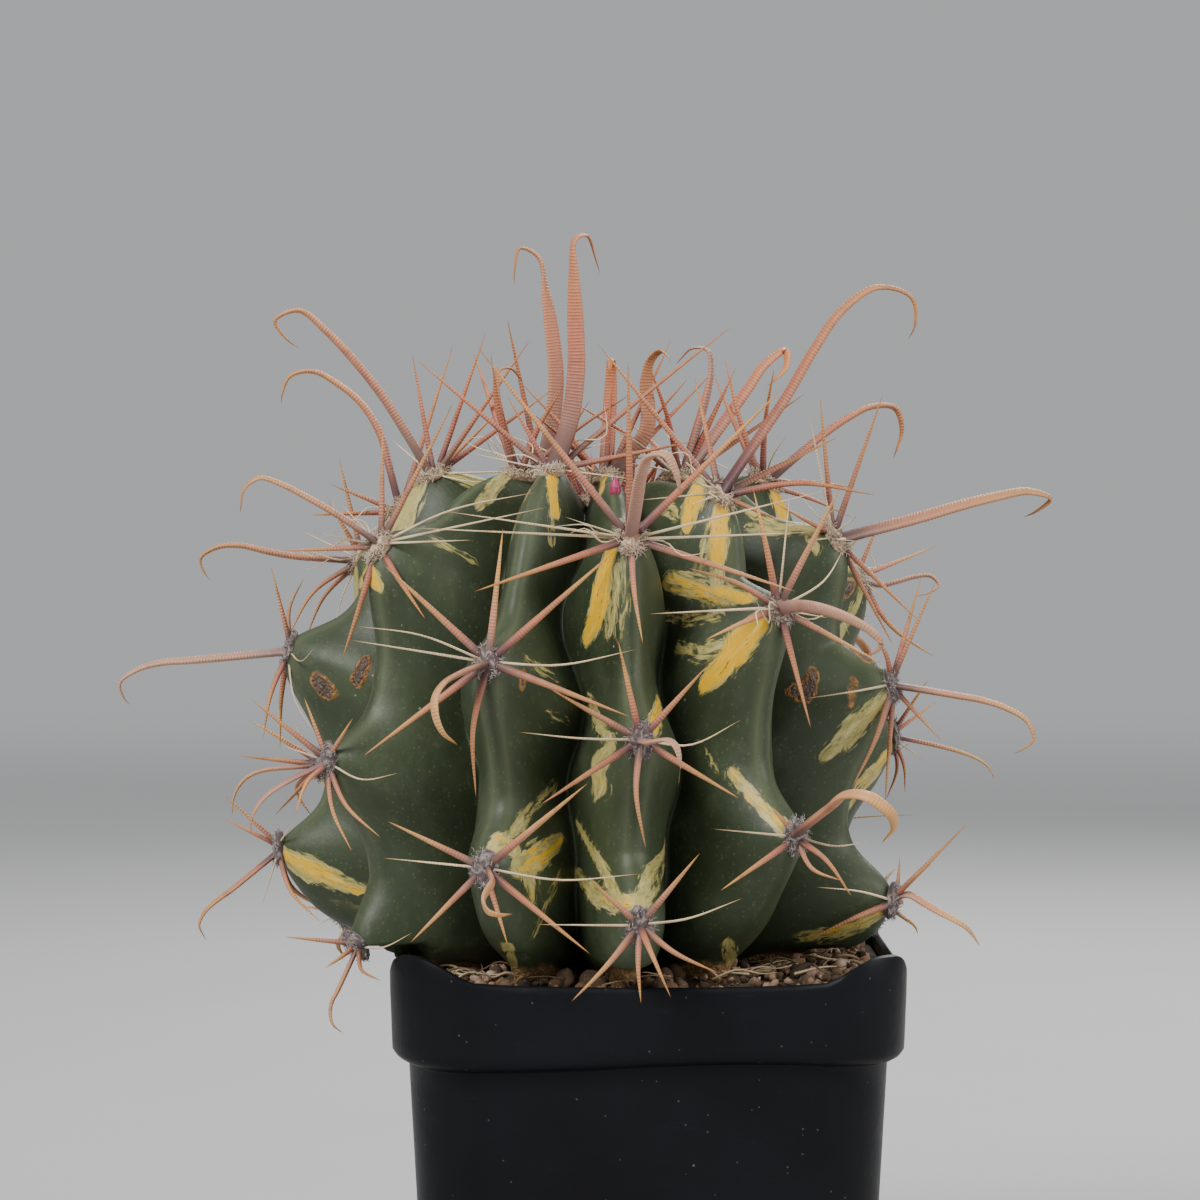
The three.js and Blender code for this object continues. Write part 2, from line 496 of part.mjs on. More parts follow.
// Root and route of every spine, each as a few points along one smooth curve
function spineLines(areole, random) {
  const measured = MEASURED[areole.name];
  const routes = [];
  if (measured) {
    for (const kind of Object.keys(measured)) {
      for (const entry of measured[kind]) {
        const stops = Array.isArray(entry[0]) ? entry : [entry];
        routes.push({ kind, stops: stops.map((stop) => measuredPoint(areole, stop)) });
      }
    }
  }
  const pattern = areole.t > CROWN_STATION ? CROWN_PATTERN : PATTERN;
  for (const item of pattern) {
    const stops = patternRoute(areole, item, random);
    if (!measured) {
      routes.push({ kind: item.kind, stops });
    }
  }
  return routes.map(({ kind, stops }) => {
    const heading = stops[0].clone().sub(areole.place).normalize();
    const spread = heading.clone().addScaledVector(areole.out, -heading.dot(areole.out));
    const root = areole.place.clone().addScaledVector(areole.out, ROOT_DEPTH).addScaledVector(spread, 1.2);
    const curve = new THREE.CatmullRomCurve3([root, ...stops], false, 'centripetal');
    const { steps, crowding } = KINDS[kind];
    const points = Array.from({ length: steps + 1 }, (_, i) => curve.getPointAt(1 - (1 - i / steps) ** crowding));
    return { kind, cluster: areole.name, out: areole.out, points };
  });
}

// Moves a spine aside at one of its points: the root stays, and what is beyond moves along
function nudge(line, index, shift) {
  for (let i = 1; i < line.points.length; i += 1) {
    line.points[i].addScaledVector(shift, Math.min(i / Math.max(index, 1), 1));
  }
}

function widthAt(line, share) {
  return line.fixed ?? KINDS[line.kind].width * (1 - share);
}

function keepApart(a, b) {
  let worst = null;
  for (let i = 0; i < a.points.length - 1; i += 1) {
    for (let j = 0; j < b.points.length - 1; j += 1) {
      const [onA, onB, s, r] = nearestPoints(a.points[i], a.points[i + 1], b.points[j], b.points[j + 1]);
      const shareA = (i + s) / (a.points.length - 1);
      const shareB = (j + r) / (b.points.length - 1);
      const lack = widthAt(a, shareA) + widthAt(b, shareB) + SPINE_GAP - onA.distanceTo(onB);
      if (lack > 0 && (!worst || lack > worst.lack)) {
        worst = { lack, onA, onB, i: i + s, j: j + r };
      }
    }
  }
  if (!worst) {
    return false;
  }
  const apart = worst.onA.clone().sub(worst.onB);
  if (apart.length() < 1e-3) {
    apart.copy(a.out);
  }
  apart.setLength(worst.lack * 0.55);
  if (!a.fixed) {
    nudge(a, worst.i, b.fixed ? apart.clone().multiplyScalar(2) : apart);
  }
  if (!b.fixed) {
    nudge(b, worst.j, apart.clone().multiplyScalar(a.fixed ? -2 : -1));
  }
  return true;
}

// The nearest points of two segments, with their shares along each
function nearestPoints(a, b, c, d) {
  const ab = b.clone().sub(a);
  const cd = d.clone().sub(c);
  const ac = a.clone().sub(c);
  const [aa, cc, mix, e, f] = [ab.dot(ab), cd.dot(cd), ab.dot(cd), ab.dot(ac), cd.dot(ac)];
  const spread = aa * cc - mix * mix;
  let s = spread > 1e-9 ? THREE.MathUtils.clamp((mix * f - e * cc) / spread, 0, 1) : 0;
  const r = THREE.MathUtils.clamp((mix * s + f) / cc, 0, 1);
  s = THREE.MathUtils.clamp((mix * r - e) / aa, 0, 1);
  return [a.clone().addScaledVector(ab, s), c.clone().addScaledVector(cd, r), s, r];
}

// How far a point must move, and which way, to stand clear of the skin
function skinShift(point, need, skin) {
  let nearest = 0;
  let least = Infinity;
  for (let v = 0; v < skin.places.length; v += 1) {
    const distance = point.distanceToSquared(skin.places[v]);
    if (distance < least) {
      least = distance;
      nearest = v;
    }
  }
  const height = point.clone().sub(skin.places[nearest]).dot(skin.normals[nearest]);
  return height < need && least < SKIN_REACH ** 2 ? skin.normals[nearest].clone().multiplyScalar(need - height) : null;
}

// The same for the pot's rim and the grit inside it
function potShift(point, need) {
  const [x, y] = [Math.abs(point.x), Math.abs(point.y)];
  const outward = POT_RIM_HALF + need - Math.max(x, y);
  const corner = Math.min(x, y) > POT_RIM_HALF - 2 * POT_CORNER_RADIUS ? POT_CORNER_RISE : 0;
  const upward = POT_HEIGHT + corner + need - point.z;
  if (outward <= 0 || upward <= 0) {
    return null;
  }
  if (upward < outward) {
    return new THREE.Vector3(0, 0, upward);
  }
  return x > y ? new THREE.Vector3(Math.sign(point.x) * outward, 0, 0)
    : new THREE.Vector3(0, Math.sign(point.y) * outward, 0);
}

function keepOffSkin(line, skin) {
  for (let i = 0; i < line.points.length - 1; i += 1) {
    for (const share of i === 0 ? [0.4, 0.7, 1] : [0.33, 0.67, 1]) {
      const point = line.points[i].clone().lerp(line.points[i + 1], share);
      const along = point.distanceTo(line.points[0]);
      const need = Math.min(SKIN_GAP + widthAt(line, (i + share) / line.points.length), 0.4 + along * 0.12);
      for (const shift of [skinShift(point, need, skin), potShift(point, need)]) {
        if (shift) {
          line.points[i + 1].addScaledVector(shift, 1 / share);
        }
        if (shift && i > 0 && share < 1) {
          line.points[i].add(shift);
        }
      }
    }
  }
}

// Spines of different areoles that would touch are bent clear of each other and of the skin
function settle(lines, areoles, skin) {
  const cushions = areoles.map((areole) => ({
    cluster: areole.name,
    fixed: CUSHION.across,
    out: areole.out,
    points: [-1, 1].map((end) => areole.place.clone().addScaledVector(areole.along, end * 1.3))
  }));
  for (let round = 0; round < 40; round += 1) {
    let moved = false;
    if (round % 4 === 0) {
      lines.forEach((line) => keepOffSkin(line, skin));
    }
    for (let i = 0; i < lines.length; i += 1) {
      const boxA = new THREE.Box3().setFromPoints(lines[i].points).expandByScalar(3);
      for (const other of [...lines.slice(i + 1), ...cushions]) {
        if (other.cluster !== lines[i].cluster && boxA.intersectsBox(new THREE.Box3().setFromPoints(other.points))) {
          moved = keepApart(lines[i], other) || moved;
        }
      }
    }
    if (!moved) {
      break;
    }
  }
}

function spineGeometry({ kind, points, out }) {
  const { width, thickness, sides } = KINDS[kind];
  const first = points[1].clone().sub(points[0]);
  const lastLeg = points[points.length - 1].clone().sub(points[points.length - 2]);
  let flatAxis = new THREE.Vector3().crossVectors(first, lastLeg);
  if (flatAxis.length() < 0.05 * first.length() * lastLeg.length()) {
    flatAxis = new THREE.Vector3().crossVectors(first, out);
  }
  flatAxis.normalize();
  const rings = [];
  for (let i = 0; i < points.length - 1; i += 1) {
    const before = points[Math.max(i - 1, 0)];
    const tangent = points[i + 1].clone().sub(before).normalize();
    const wide = flatAxis.clone().addScaledVector(tangent, -flatAxis.dot(tangent)).normalize();
    const deep = new THREE.Vector3().crossVectors(tangent, wide);
    const taper = 1 - (i / (points.length - 1)) ** (kind === 'hook' ? 2.2 : 1.3);
    const ring = [];
    for (let k = 0; k < sides; k += 1) {
      const angle = (2 * Math.PI * k) / sides;
      ring.push(points[i].clone().addScaledVector(wide, Math.cos(angle) * width * taper)
        .addScaledVector(deep, Math.sin(angle) * thickness * taper));
    }
    rings.push(ring);
  }
  return loft(rings, points[0], points[points.length - 1]);
}

function cushionGeometry({ place, out, side, along }) {
  const pad = new THREE.SphereGeometry(1, 6, 3);
  const frame = new THREE.Matrix4().makeBasis(
    side.clone().multiplyScalar(CUSHION.across),
    out.clone().multiplyScalar(CUSHION.out),
    side.clone().cross(out).multiplyScalar(CUSHION.along)
  );
  pad.applyMatrix4(frame).translate(place.x, place.y, place.z);
  return pad;
}

function clusterGeometry(areole, lines, body) {
  let cluster = toManifold(cushionGeometry(areole));
  for (const line of lines) {
    cluster = cluster.add(toManifold(spineGeometry(line)));
  }
  return toGeometry(cluster.subtract(body));
}

// Materials
const potPlastic = new THREE.MeshStandardMaterial({ color: 0x1b1c20, roughness: 0.55, metalness: 0 });
const grit = new THREE.MeshStandardMaterial({ color: 0x5a4c3f, roughness: 0.95, metalness: 0 });
const skinGreen = new THREE.MeshStandardMaterial({ color: 0x2f4534, roughness: 0.6, metalness: 0 });
const spineHorn = new THREE.MeshStandardMaterial({ color: 0x9a6f5f, roughness: 0.7, metalness: 0 });

const group = new THREE.Group();

function addPiece(name, geometry, material) {
  const mesh = new THREE.Mesh(geometry, material);
  mesh.name = name;
  group.add(mesh);
}

const body = bodyGeometry(BODY_ROWS, RIB_COLUMNS);
const bodyRoom = toManifold(grown(body, CLEARANCE + 0.05));
addPiece('pot', potGeometry(), potPlastic);
addPiece('soil', toGeometry(soilSolid(bodyRoom)), grit);
addPiece('cactus_body', body, skinGreen);

const skinMesh = bodyGeometry(SKIN_SAMPLES.rows, SKIN_SAMPLES.columns);
skinMesh.computeVertexNormals();
const vectors = (attribute) => Array.from({ length: attribute.count }, (_, i) =>
  new THREE.Vector3().fromBufferAttribute(attribute, i));
const skin = { places: vectors(skinMesh.attributes.position), normals: vectors(skinMesh.attributes.normal) };

const random = seeded(20417);
const areoles = ribNames.flatMap((rib) => AREOLES[rib].map((_, order) => areoleFrame(rib, order)));
const lines = areoles.flatMap((areole) => spineLines(areole, random));
settle(lines, areoles, skin);
for (const areole of areoles) {
  const own = lines.filter((line) => line.cluster === areole.name);
  addPiece(`spines_${areole.name}`, clusterGeometry(areole, own, bodyRoom), spineHorn);
}

export default group;
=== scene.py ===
"""The looks of a potted, variegated fishhook barrel cactus.

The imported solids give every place. Over them this script grows the ribbed skin with its cream and
yellow marks, scars and corky feet, the ringed horny spines, the wool, the dry grit and the pot.
Lengths are in millimetres until a mesh is made.
"""

import math
import random

import bmesh
import bpy
import numpy as np
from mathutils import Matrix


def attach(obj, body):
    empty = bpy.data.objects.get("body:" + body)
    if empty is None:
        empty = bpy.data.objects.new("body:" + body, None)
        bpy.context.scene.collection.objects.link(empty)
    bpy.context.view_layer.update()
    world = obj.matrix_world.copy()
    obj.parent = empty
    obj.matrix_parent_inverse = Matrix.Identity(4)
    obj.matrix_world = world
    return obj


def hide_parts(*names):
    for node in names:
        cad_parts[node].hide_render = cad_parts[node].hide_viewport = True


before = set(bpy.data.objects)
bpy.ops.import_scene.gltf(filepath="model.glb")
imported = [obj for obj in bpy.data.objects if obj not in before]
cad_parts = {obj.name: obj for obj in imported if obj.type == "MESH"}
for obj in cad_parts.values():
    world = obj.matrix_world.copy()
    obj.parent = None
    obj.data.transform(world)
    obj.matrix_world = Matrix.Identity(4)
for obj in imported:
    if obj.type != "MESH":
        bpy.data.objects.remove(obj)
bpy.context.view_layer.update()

MM = 0.001
chance = random.Random(2041)

# Pot and grit
POT_HEIGHT = 100
RIM_HALF = 56
NECK_HALF = 52.2
BASE_HALF = 48.2
BAND_BOTTOM = 81
CORNER_RADIUS = 15
CORNER_RISE = 4.5
RIM_SAG = 2.0
WALL = 1.6
POT_FLOOR = 2
DRAIN_RADIUS = 4
DRAIN_OFFSET = 27
SOIL_TOP = 97.5
BAND_SETBACK = 0.2
GRIT_GAP = 0.3
GRIT_SINK = 0.8
GRIT_REACH = 51.5
GRIT_ROOM = 52.6
INNER_CORNER = 38.5
CORNER_ROOM = 13.6
STRAWS = 90
# Mean radius of the stones, its spread, how many are strewn, and how finely each is made
STONES = [(2.6, 0.8, 70, 2), (1.5, 0.5, 620, 2), (0.8, 0.3, 1500, 1)]

# Plant
PLANT_X = -12
BODY_CENTRE = np.array([PLANT_X, 0, 150.0])
RIBS = "ADGHIJKFECB"
AZIMUTHS = np.array([8, 37, 70, 104, 137, 172, 208, 244, 274, 307, 341.5])
CREST = [(46.5, 84), (47, 90), (47.5, 96), (49, 101), (54, 106), (58.5, 113), (59.8, 126), (60, 148),
         (57, 168), (50.5, 185), (42, 197), (33, 203.5), (23, 205.5), (12, 203), (4, 200.5)]
GROOVE = [(19, 84), (22, 90), (25, 96), (30, 102), (36, 109), (40, 117), (42, 128), (42.5, 148),
          (41, 166), (37, 179), (31, 188.5), (24, 194), (16, 197.5), (9, 199), (3, 199.5)]
SKIN_ROWS = 230
RIB_COLUMNS = 34
TUBERCLE_HEIGHT = 11.5
TUBERCLE_HALF_WIDTH = 9
TUBERCLE_ABOVE = 7.5
TUBERCLE_CHIN = 14
RIM_MARGIN = 7
FOOT_SIDE_ROOM = 40
FOOT_FRONT_ROOM = 46.5
FOOT_TOP = 101
BULGE_BOTTOM = 108
STROKE_SOFTNESS = 1.5
FINEST_STROKE = 1.5
GROOVE_SWAY = 0.16
GROOVE_SWAY_REACH = 15
CREST_KEEL = 0.9
RIM_CLEARANCE = 0.8
MEAN_RIB_ANGLE = 33
MEAN_RIB_RADIUS = 55
GROOVE_FOOT = 31
RIB_FOOT = 14
CROWN_TOP = np.array([PLANT_X, 0, 200.5])
CROWN_SPINES = 46
CROWN_CUSHIONS = 9
BUD_FOOT = np.array([-7.2, -35, 202.2])

# Each rib's areoles from the crown down: "r" a radius on the crown, "z" a height on the flank
AREOLES = {
    "A": [("r", 19), ("z", 188.5), ("z", 150.5), ("z", 115)],
    "B": [("r", 28), ("z", 165), ("z", 125)],
    "C": [("r", 21), ("z", 187), ("z", 145), ("z", 108)],
    "D": [("r", 41), ("z", 175), ("z", 131)],
    "E": [("r", 34), ("z", 166), ("z", 124)],
    "F": [("r", 44), ("z", 184), ("z", 140), ("z", 110)],
    "G": [("r", 21), ("z", 188.5), ("z", 159.5), ("z", 115.5)],
    "H": [("r", 37), ("z", 180), ("z", 147), ("z", 111)],
    "I": [("r", 30), ("z", 168), ("z", 124)],
    "J": [("r", 20), ("z", 188), ("z", 148), ("z", 112)],
    "K": [("r", 26), ("z", 170), ("z", 126)],
}

# Where the object stands in the photograph's 1200-pixel frame
PHOTO_CENTRE = 600
FOCAL_PIXELS = 3622
CAMERA_DISTANCE = 825
CAMERA_TARGET = (-10.5, 0, 179.6)
CAMERA_ELEVATION = math.radians(1)

# Studio lamps: name, place in metres, size and power
LAMPS = [("key", (-0.75, -0.95, 1.2), 0.6, 30), ("fill", (1.15, -0.55, 0.7), 0.7, 11),
         ("back", (0.35, 1.0, 0.95), 0.7, 14)]

# Marks that the photograph shows, each on one rib: pixels along the stroke with its half width in
# millimetres at each, how yellow it is, and how strong
MARKS = [
    ("A", [(613, 545, 1.0), (606, 571, 2.2), (598, 598, 3.0), (592, 622, 2.5), (586, 638, 0.8)], 1.0, 1.0),
    ("A", [(617, 566, 0.4), (613, 598, 0.7), (607, 634, 0.4)], 0.0, 0.8),
    ("A", [(622, 560, 0.3), (622, 600, 0.4), (618, 640, 0.3)], 0.0, 0.5),
    ("D", [(699, 478, 2.0), (691, 502, 2.8), (685, 526, 1.6)], 1.0, 0.95),
    ("D", [(660, 508, 1.6), (674, 514, 2.2)], 0.4, 0.7),
    ("D", [(722, 492, 1.4), (720, 528, 2.7), (716, 562, 1.8)], 1.0, 0.9),
    ("D", [(671, 578, 2.2), (700, 586, 3.4), (722, 592, 2.8), (748, 598, 2.0)], 0.55, 0.85),
    ("D", [(716, 592, 1.2), (748, 599, 1.8)], 1.0, 0.9),
    ("D", [(663, 615, 0.9), (690, 619, 1.3), (716, 616, 0.8)], 0.2, 0.7),
    ("D", [(761, 625, 2.6), (740, 644, 3.2), (720, 672, 2.6), (706, 688, 0.8)], 1.0, 1.0),
    ("D", [(679, 646, 0.8), (700, 652, 2.0), (722, 648, 2.2)], 0.15, 0.75),
    ("A", [(586, 698, 0.8), (594, 712, 1.3), (602, 728, 1.3)], 0.1, 0.75),
    ("A", [(660, 698, 0.5), (657, 712, 1.5), (651, 730, 2.0)], 0.75, 1.0),
    ("A", [(588, 706, 0.5), (600, 728, 0.9), (613, 744, 1.0)], 0.2, 0.9),
    ("A", [(606, 754, 1.8), (598, 768, 2.5), (596, 784, 2.7), (596, 798, 1.2)], 0.15, 1.1),
    ("A", [(682, 756, 1.0), (698, 774, 1.7), (716, 788, 0.6)], 0.2, 0.65),
    ("B", [(527, 655, 0.9), (542, 668, 1.5), (560, 680, 1.3)], 0.0, 0.55),
    ("B", [(550, 712, 0.8), (566, 724, 0.9)], 0.0, 0.5),
    ("B", [(556, 786, 0.4), (534, 806, 0.8), (514, 836, 0.9)], 0.0, 0.8),
    ("B", [(490, 852, 1.6), (503, 842, 2.0), (518, 850, 1.6)], 0.25, 1.15),
    ("B", [(518, 864, 2.4), (540, 856, 3.2), (562, 838, 1.4)], 0.4, 1.0),
    ("B", [(524, 868, 2.2), (530, 884, 2.0), (532, 900, 0.9)], 0.3, 0.9),
    ("B", [(560, 874, 0.4), (548, 905, 0.7), (534, 936, 0.4)], 0.0, 0.65),
    ("A", [(577, 828, 0.4), (598, 866, 0.9), (618, 900, 1.2)], 0.1, 0.95),
    ("A", [(574, 874, 1.2), (594, 894, 2.6), (616, 908, 1.6)], 0.2, 0.9),
    ("A", [(616, 900, 1.4), (630, 903, 1.9), (645, 901, 1.4)], 0.3, 1.15),
    ("A", [(638, 902, 1.2), (650, 876, 1.2), (668, 844, 0.6)], 0.1, 0.95),
    ("A", [(650, 900, 0.6), (658, 884, 0.8), (670, 862, 0.4)], 0.0, 0.7),
    ("D", [(734, 772, 0.5), (758, 800, 1.0), (784, 828, 1.7)], 0.45, 1.0),
    ("D", [(700, 746, 0.5), (716, 768, 0.8)], 0.0, 0.5),
    ("C", [(336, 566, 2.0), (356, 570, 2.6), (380, 584, 1.6)], 0.7, 1.0),
    ("C", [(434, 538, 0.3), (455, 552, 0.6), (476, 563, 0.3)], 0.0, 0.7),
    ("B", [(507, 948, 0.9), (511, 966, 1.0), (510, 988, 0.9)], 0.0, 1.0),
    ("D", [(728, 944, 0.5), (731, 962, 0.9), (734, 982, 0.7)], 0.0, 1.0),
    ("G", [(800, 520, 1.0), (818, 548, 1.5)], 0.2, 0.7),
]
SCARS = [
    ("E", [(322, 680, 2.1), (332, 690, 2.3)], 0.0, 1.0),
    ("E", [(364, 660, 1.7), (363, 680, 2.0)], 0.0, 1.0),
    ("G", [(798, 690, 1.9), (806, 694, 2.2)], 0.0, 1.0),
    ("G", [(810, 674, 1.2), (812, 686, 1.2)], 0.0, 0.9),
    ("G", [(852, 680, 0.7), (854, 702, 0.8)], 0.0, 0.8),
    ("B", [(526, 675, 0.7), (524, 685, 0.8)], 0.0, 0.9),
]

# Half widths and half thicknesses at the root, in millimetres, and how each kind tapers
HORN = {
    "hook": {"width": 1.95, "depth": 1.05, "sides": 12, "taper": 3.2},
    "stout": {"width": 0.95, "depth": 0.75, "sides": 7, "taper": 1.35},
    "thin": {"width": 0.36, "depth": 0.3, "sides": 5, "taper": 1.5},
}
RING_PITCH = 0.72
STOUT_RINGS = 22
THIN_RINGS = 14
FULL_HOOK_LENGTH = 46
CROWN_HOOK_WIDTH = 1.1
CROWN_START = 0.84
MAUVE_HOOKS = {"A1", "A2", "D1", "C2", "E1", "G0", "H1", "J2", "K1"}
MAUVE = 1.0
ROOT_DEPTH = 0.4
ROOT_SPREAD = 1.2
RIDGE_HEIGHT = 0.022
FELT = {"along": 4.1, "across": 3.1, "out": 1.7}


# Curves

def smooth_path(knots, per_leg=24):
    """A dense smooth line through a few points"""
    knots = np.asarray(knots, float)
    ends = np.vstack([2 * knots[0] - knots[1], knots, 2 * knots[-1] - knots[-2]])
    share = np.linspace(0, 1, per_leg, endpoint=False)[:, None]
    legs = []
    for before, start, stop, after in zip(ends, ends[1:], ends[2:], ends[3:]):
        g0, g1, g2 = (max(np.linalg.norm(b - a), 1e-6) ** 0.5
                      for a, b in ((before, start), (start, stop), (stop, after)))
        leave = ((start - before) / g0 - (stop - before) / (g0 + g1) + (stop - start) / g1) * g1
        arrive = ((stop - start) / g1 - (after - start) / (g1 + g2) + (after - stop) / g2) * g1
        legs.append(start + leave * share + (3 * (stop - start) - 2 * leave - arrive) * share ** 2
                    + (2 * (start - stop) + leave + arrive) * share ** 3)
    return np.vstack(legs + [knots[-1:]])


def path_length(path):
    return float(np.linalg.norm(np.diff(path, axis=0), axis=1).sum())


def at_share(path, share):
    """The points at these shares of the path's length"""
    reach = np.concatenate([[0], np.cumsum(np.linalg.norm(np.diff(path, axis=0), axis=1))])
    return np.stack([np.interp(np.asarray(share) * reach[-1], reach, axis) for axis in path.T], axis=-1)


def unit(vectors):
    return vectors / np.maximum(np.linalg.norm(vectors, axis=-1, keepdims=True), 1e-9)


def closed(rings, path):
    """The points of a tube's rings and of its two ends"""
    return np.vstack([rings.reshape(-1, 3), path[0], path[-1]])


def level(angle):
    """The level direction at this angle"""
    return np.array([math.cos(angle), math.sin(angle), 0])


def wild():
    """A random direction of any length"""
    return np.array([chance.gauss(0, 1) for _ in range(3)])


def smoothstep(low, high, value):
    share = np.clip((value - low) / (high - low), 0, 1)
    return share * share * (3 - 2 * share)


# The skin

crest_path = smooth_path(CREST, 60)
groove_path = smooth_path(GROOVE, 60)
CREST_LENGTH = path_length(crest_path)


def crest_normal(t):
    step = 0.002
    after = at_share(crest_path, np.minimum(t + step, 1))
    before = at_share(crest_path, np.maximum(t - step, 0))
    tangent = unit(after - before)
    return np.stack([tangent[..., 1], -tangent[..., 0]], axis=-1)


def station_of(kind, value):
    """How far along the crest, 0 in the grit and 1 at the crown, an areole sits"""
    t = np.linspace(0, 1, 401)
    points = at_share(crest_path, t)
    miss = np.abs(points[:, 0] - value) + (t <= 0.6) * 1e3 if kind == "r" else np.abs(points[:, 1] - value)
    return t[np.argmin(miss)]


STATIONS = {rib: [station_of(*place) for place in AREOLES[rib]] for rib in RIBS}


def tubercle_size(t):
    return TUBERCLE_HEIGHT * smoothstep(0, 0.42, 1 - t) * smoothstep(0.02, 0.18, t)


def ripple(points):
    """The slow unevenness of a grown surface"""
    x, y, z = points.T
    return (0.35 * np.sin(x * 0.21 + z * 0.09) * np.cos(y * 0.17 - z * 0.05)
            + 0.22 * np.sin(z * 0.31 + x * 0.12 + y * 0.26))


def foot_room(azimuth):
    """How far a rib's foot can reach out inside the pot"""
    x, y = np.sin(azimuth), -np.cos(azimuth)
    return np.minimum((FOOT_SIDE_ROOM - np.sign(x) * PLANT_X) / np.maximum(np.abs(x), 1e-6),
                      FOOT_FRONT_ROOM / np.maximum(np.abs(y), 1e-6))


def areole_pull(rib, t):
    """How strongly each rib swells at this height, for the groove beside it to give way"""
    pull = np.zeros(len(t))
    for index, name in enumerate(RIBS):
        for station in STATIONS[name]:
            pull += np.exp(-((t - station) * CREST_LENGTH / GROOVE_SWAY_REACH) ** 2) * (rib == index)
    return pull


def skin_points(rib, u, t, fine=1.0):
    """Points of the skin: u runs from -0.5 to 0.5 across a rib, t from the grit to the crown"""
    side = np.where(u < 0, -1, 1)
    middle = AZIMUTHS[rib]
    beside = (rib + side) % len(RIBS)
    gap = ((AZIMUTHS[beside] - middle) * side) % 360
    sway = fine * GROOVE_SWAY * (areole_pull(rib, t) - areole_pull(beside, t)) * smoothstep(0.25, 0.5, t)
    azimuth = np.radians(middle + u * gap + side * gap * sway * smoothstep(0.0, 0.5, np.abs(u)))
    crest = at_share(crest_path, t)
    groove = at_share(groove_path, t)
    swell = smoothstep(FOOT_TOP - 1, BULGE_BOTTOM, crest[:, 1])
    roundness = np.clip(np.cos(np.pi * u), 0, 1) ** (2 + (0.85 + 0.2 * fine - 2) * swell)
    low = crest[:, 1] < FOOT_TOP + 4
    freed = np.where(low, 60 * smoothstep(FOOT_TOP - 3, FOOT_TOP + 4, crest[:, 1]), 99)
    crest[:, 0] = np.minimum(crest[:, 0], foot_room(azimuth) + freed)
    across = u * np.radians(gap) * crest[:, 0]
    bump = np.zeros(len(t))
    for index, name in enumerate(RIBS):
        for station in STATIONS[name]:
            along = (t - station) * CREST_LENGTH
            reach = np.where(along > 0, TUBERCLE_ABOVE, TUBERCLE_CHIN)
            shape = np.exp(-(along / reach) ** 2 - (across / TUBERCLE_HALF_WIDTH) ** 2)
            bump = np.maximum(bump, shape * tubercle_size(station) * (rib == index))
    keel = (fine * CREST_KEEL * np.exp(-(across / 2.6) ** 2)
            * smoothstep(0.3, 0.45, t) * smoothstep(0, 0.1, 1 - t))
    flat = groove + (crest - groove) * roundness[:, None] + crest_normal(t) * (bump * swell + keel)[:, None]
    points = np.stack([PLANT_X + flat[:, 0] * np.sin(azimuth), -flat[:, 0] * np.cos(azimuth), flat[:, 1]],
                      axis=-1)
    outward = np.stack([np.sin(azimuth), -np.cos(azimuth), 0 * azimuth], axis=-1)
    points += outward * (fine * ripple(points) * smoothstep(0.1, 0.25, t))[:, None]
    return over_rim(points)


def over_rim(points):
    """The swollen ribs bulge out over the pot's rim without touching it"""
    x, y = np.abs(points[:, 0]), np.abs(points[:, 1])
    corner = np.where(np.minimum(x, y) > RIM_HALF - 2 * CORNER_RADIUS, CORNER_RISE, 0)
    floor = np.where(np.maximum(x, y) > RIM_HALF - RIM_MARGIN, POT_HEIGHT + corner + RIM_CLEARANCE, -np.inf)
    points[:, 2] = np.maximum(points[:, 2], floor)
    return points


def areole_frame(rib, order):
    index = RIBS.index(rib)
    t = STATIONS[rib][order]
    azimuth = math.radians(AZIMUTHS[index])
    flat = crest_normal(np.array([t]))[0]
    out = unit(np.array([flat[0] * math.sin(azimuth), -flat[0] * math.cos(azimuth), flat[1]]))
    side = level(azimuth)
    along = -np.cross(out, side)
    along = -along if along[2] < 0 else along
    place = skin_points(np.array([index]), np.array([0.0]), np.array([t]), fine=0)[0]
    return {"name": f"{rib}{order}", "t": t, "out": out, "side": side, "along": along, "place": place,
            "young": float(smoothstep(0.5, 0.72, t))}


# Camera

def photo_axes():
    view = np.array([0, math.cos(CAMERA_ELEVATION), -math.sin(CAMERA_ELEVATION)])
    top = np.array([0, math.sin(CAMERA_ELEVATION), math.cos(CAMERA_ELEVATION)])
    return view, top, np.array(CAMERA_TARGET) - view * CAMERA_DISTANCE


def to_pixels(points):
    """Where points show in the photograph, and how far away they are"""
    view, top, eye = photo_axes()
    away = (points - eye) @ view
    x = PHOTO_CENTRE + FOCAL_PIXELS * (points - eye)[:, 0] / away
    y = PHOTO_CENTRE - FOCAL_PIXELS * ((points - eye) @ top) / away
    return x, y, away


def make_camera():
    eye = photo_axes()[2]
    data = bpy.data.cameras.new("camera")
    data.sensor_width = 36
    data.lens = 36 * FOCAL_PIXELS / (2 * PHOTO_CENTRE)
    data.clip_end = 20
    camera = bpy.data.objects.new("camera", data)
    bpy.context.scene.collection.objects.link(camera)
    camera.location = eye * MM
    camera.rotation_euler = (math.pi / 2 - CAMERA_ELEVATION, 0, 0)
    bpy.context.scene.camera = camera


# Shader building blocks

def add(tree, kind, inputs=None, **settings):
    """One node, its settings, and its inputs wired or filled in"""
    node = tree.nodes.new(kind)
    for name, value in settings.items():
        setattr(node, name, value)
    for key, value in (inputs or {}).items():
        if isinstance(value, bpy.types.NodeSocket):
            tree.links.new(value, node.inputs[key])
        else:
            node.inputs[key].default_value = value
    return node


def calc(tree, operation, first, second=0.0, third=0.0, clamp=False):
    return add(tree, "ShaderNodeMath", {0: first, 1: second, 2: third},
               operation=operation, use_clamp=clamp).outputs[0]


def times(tree, first, second):
    return calc(tree, "MULTIPLY", first, second)


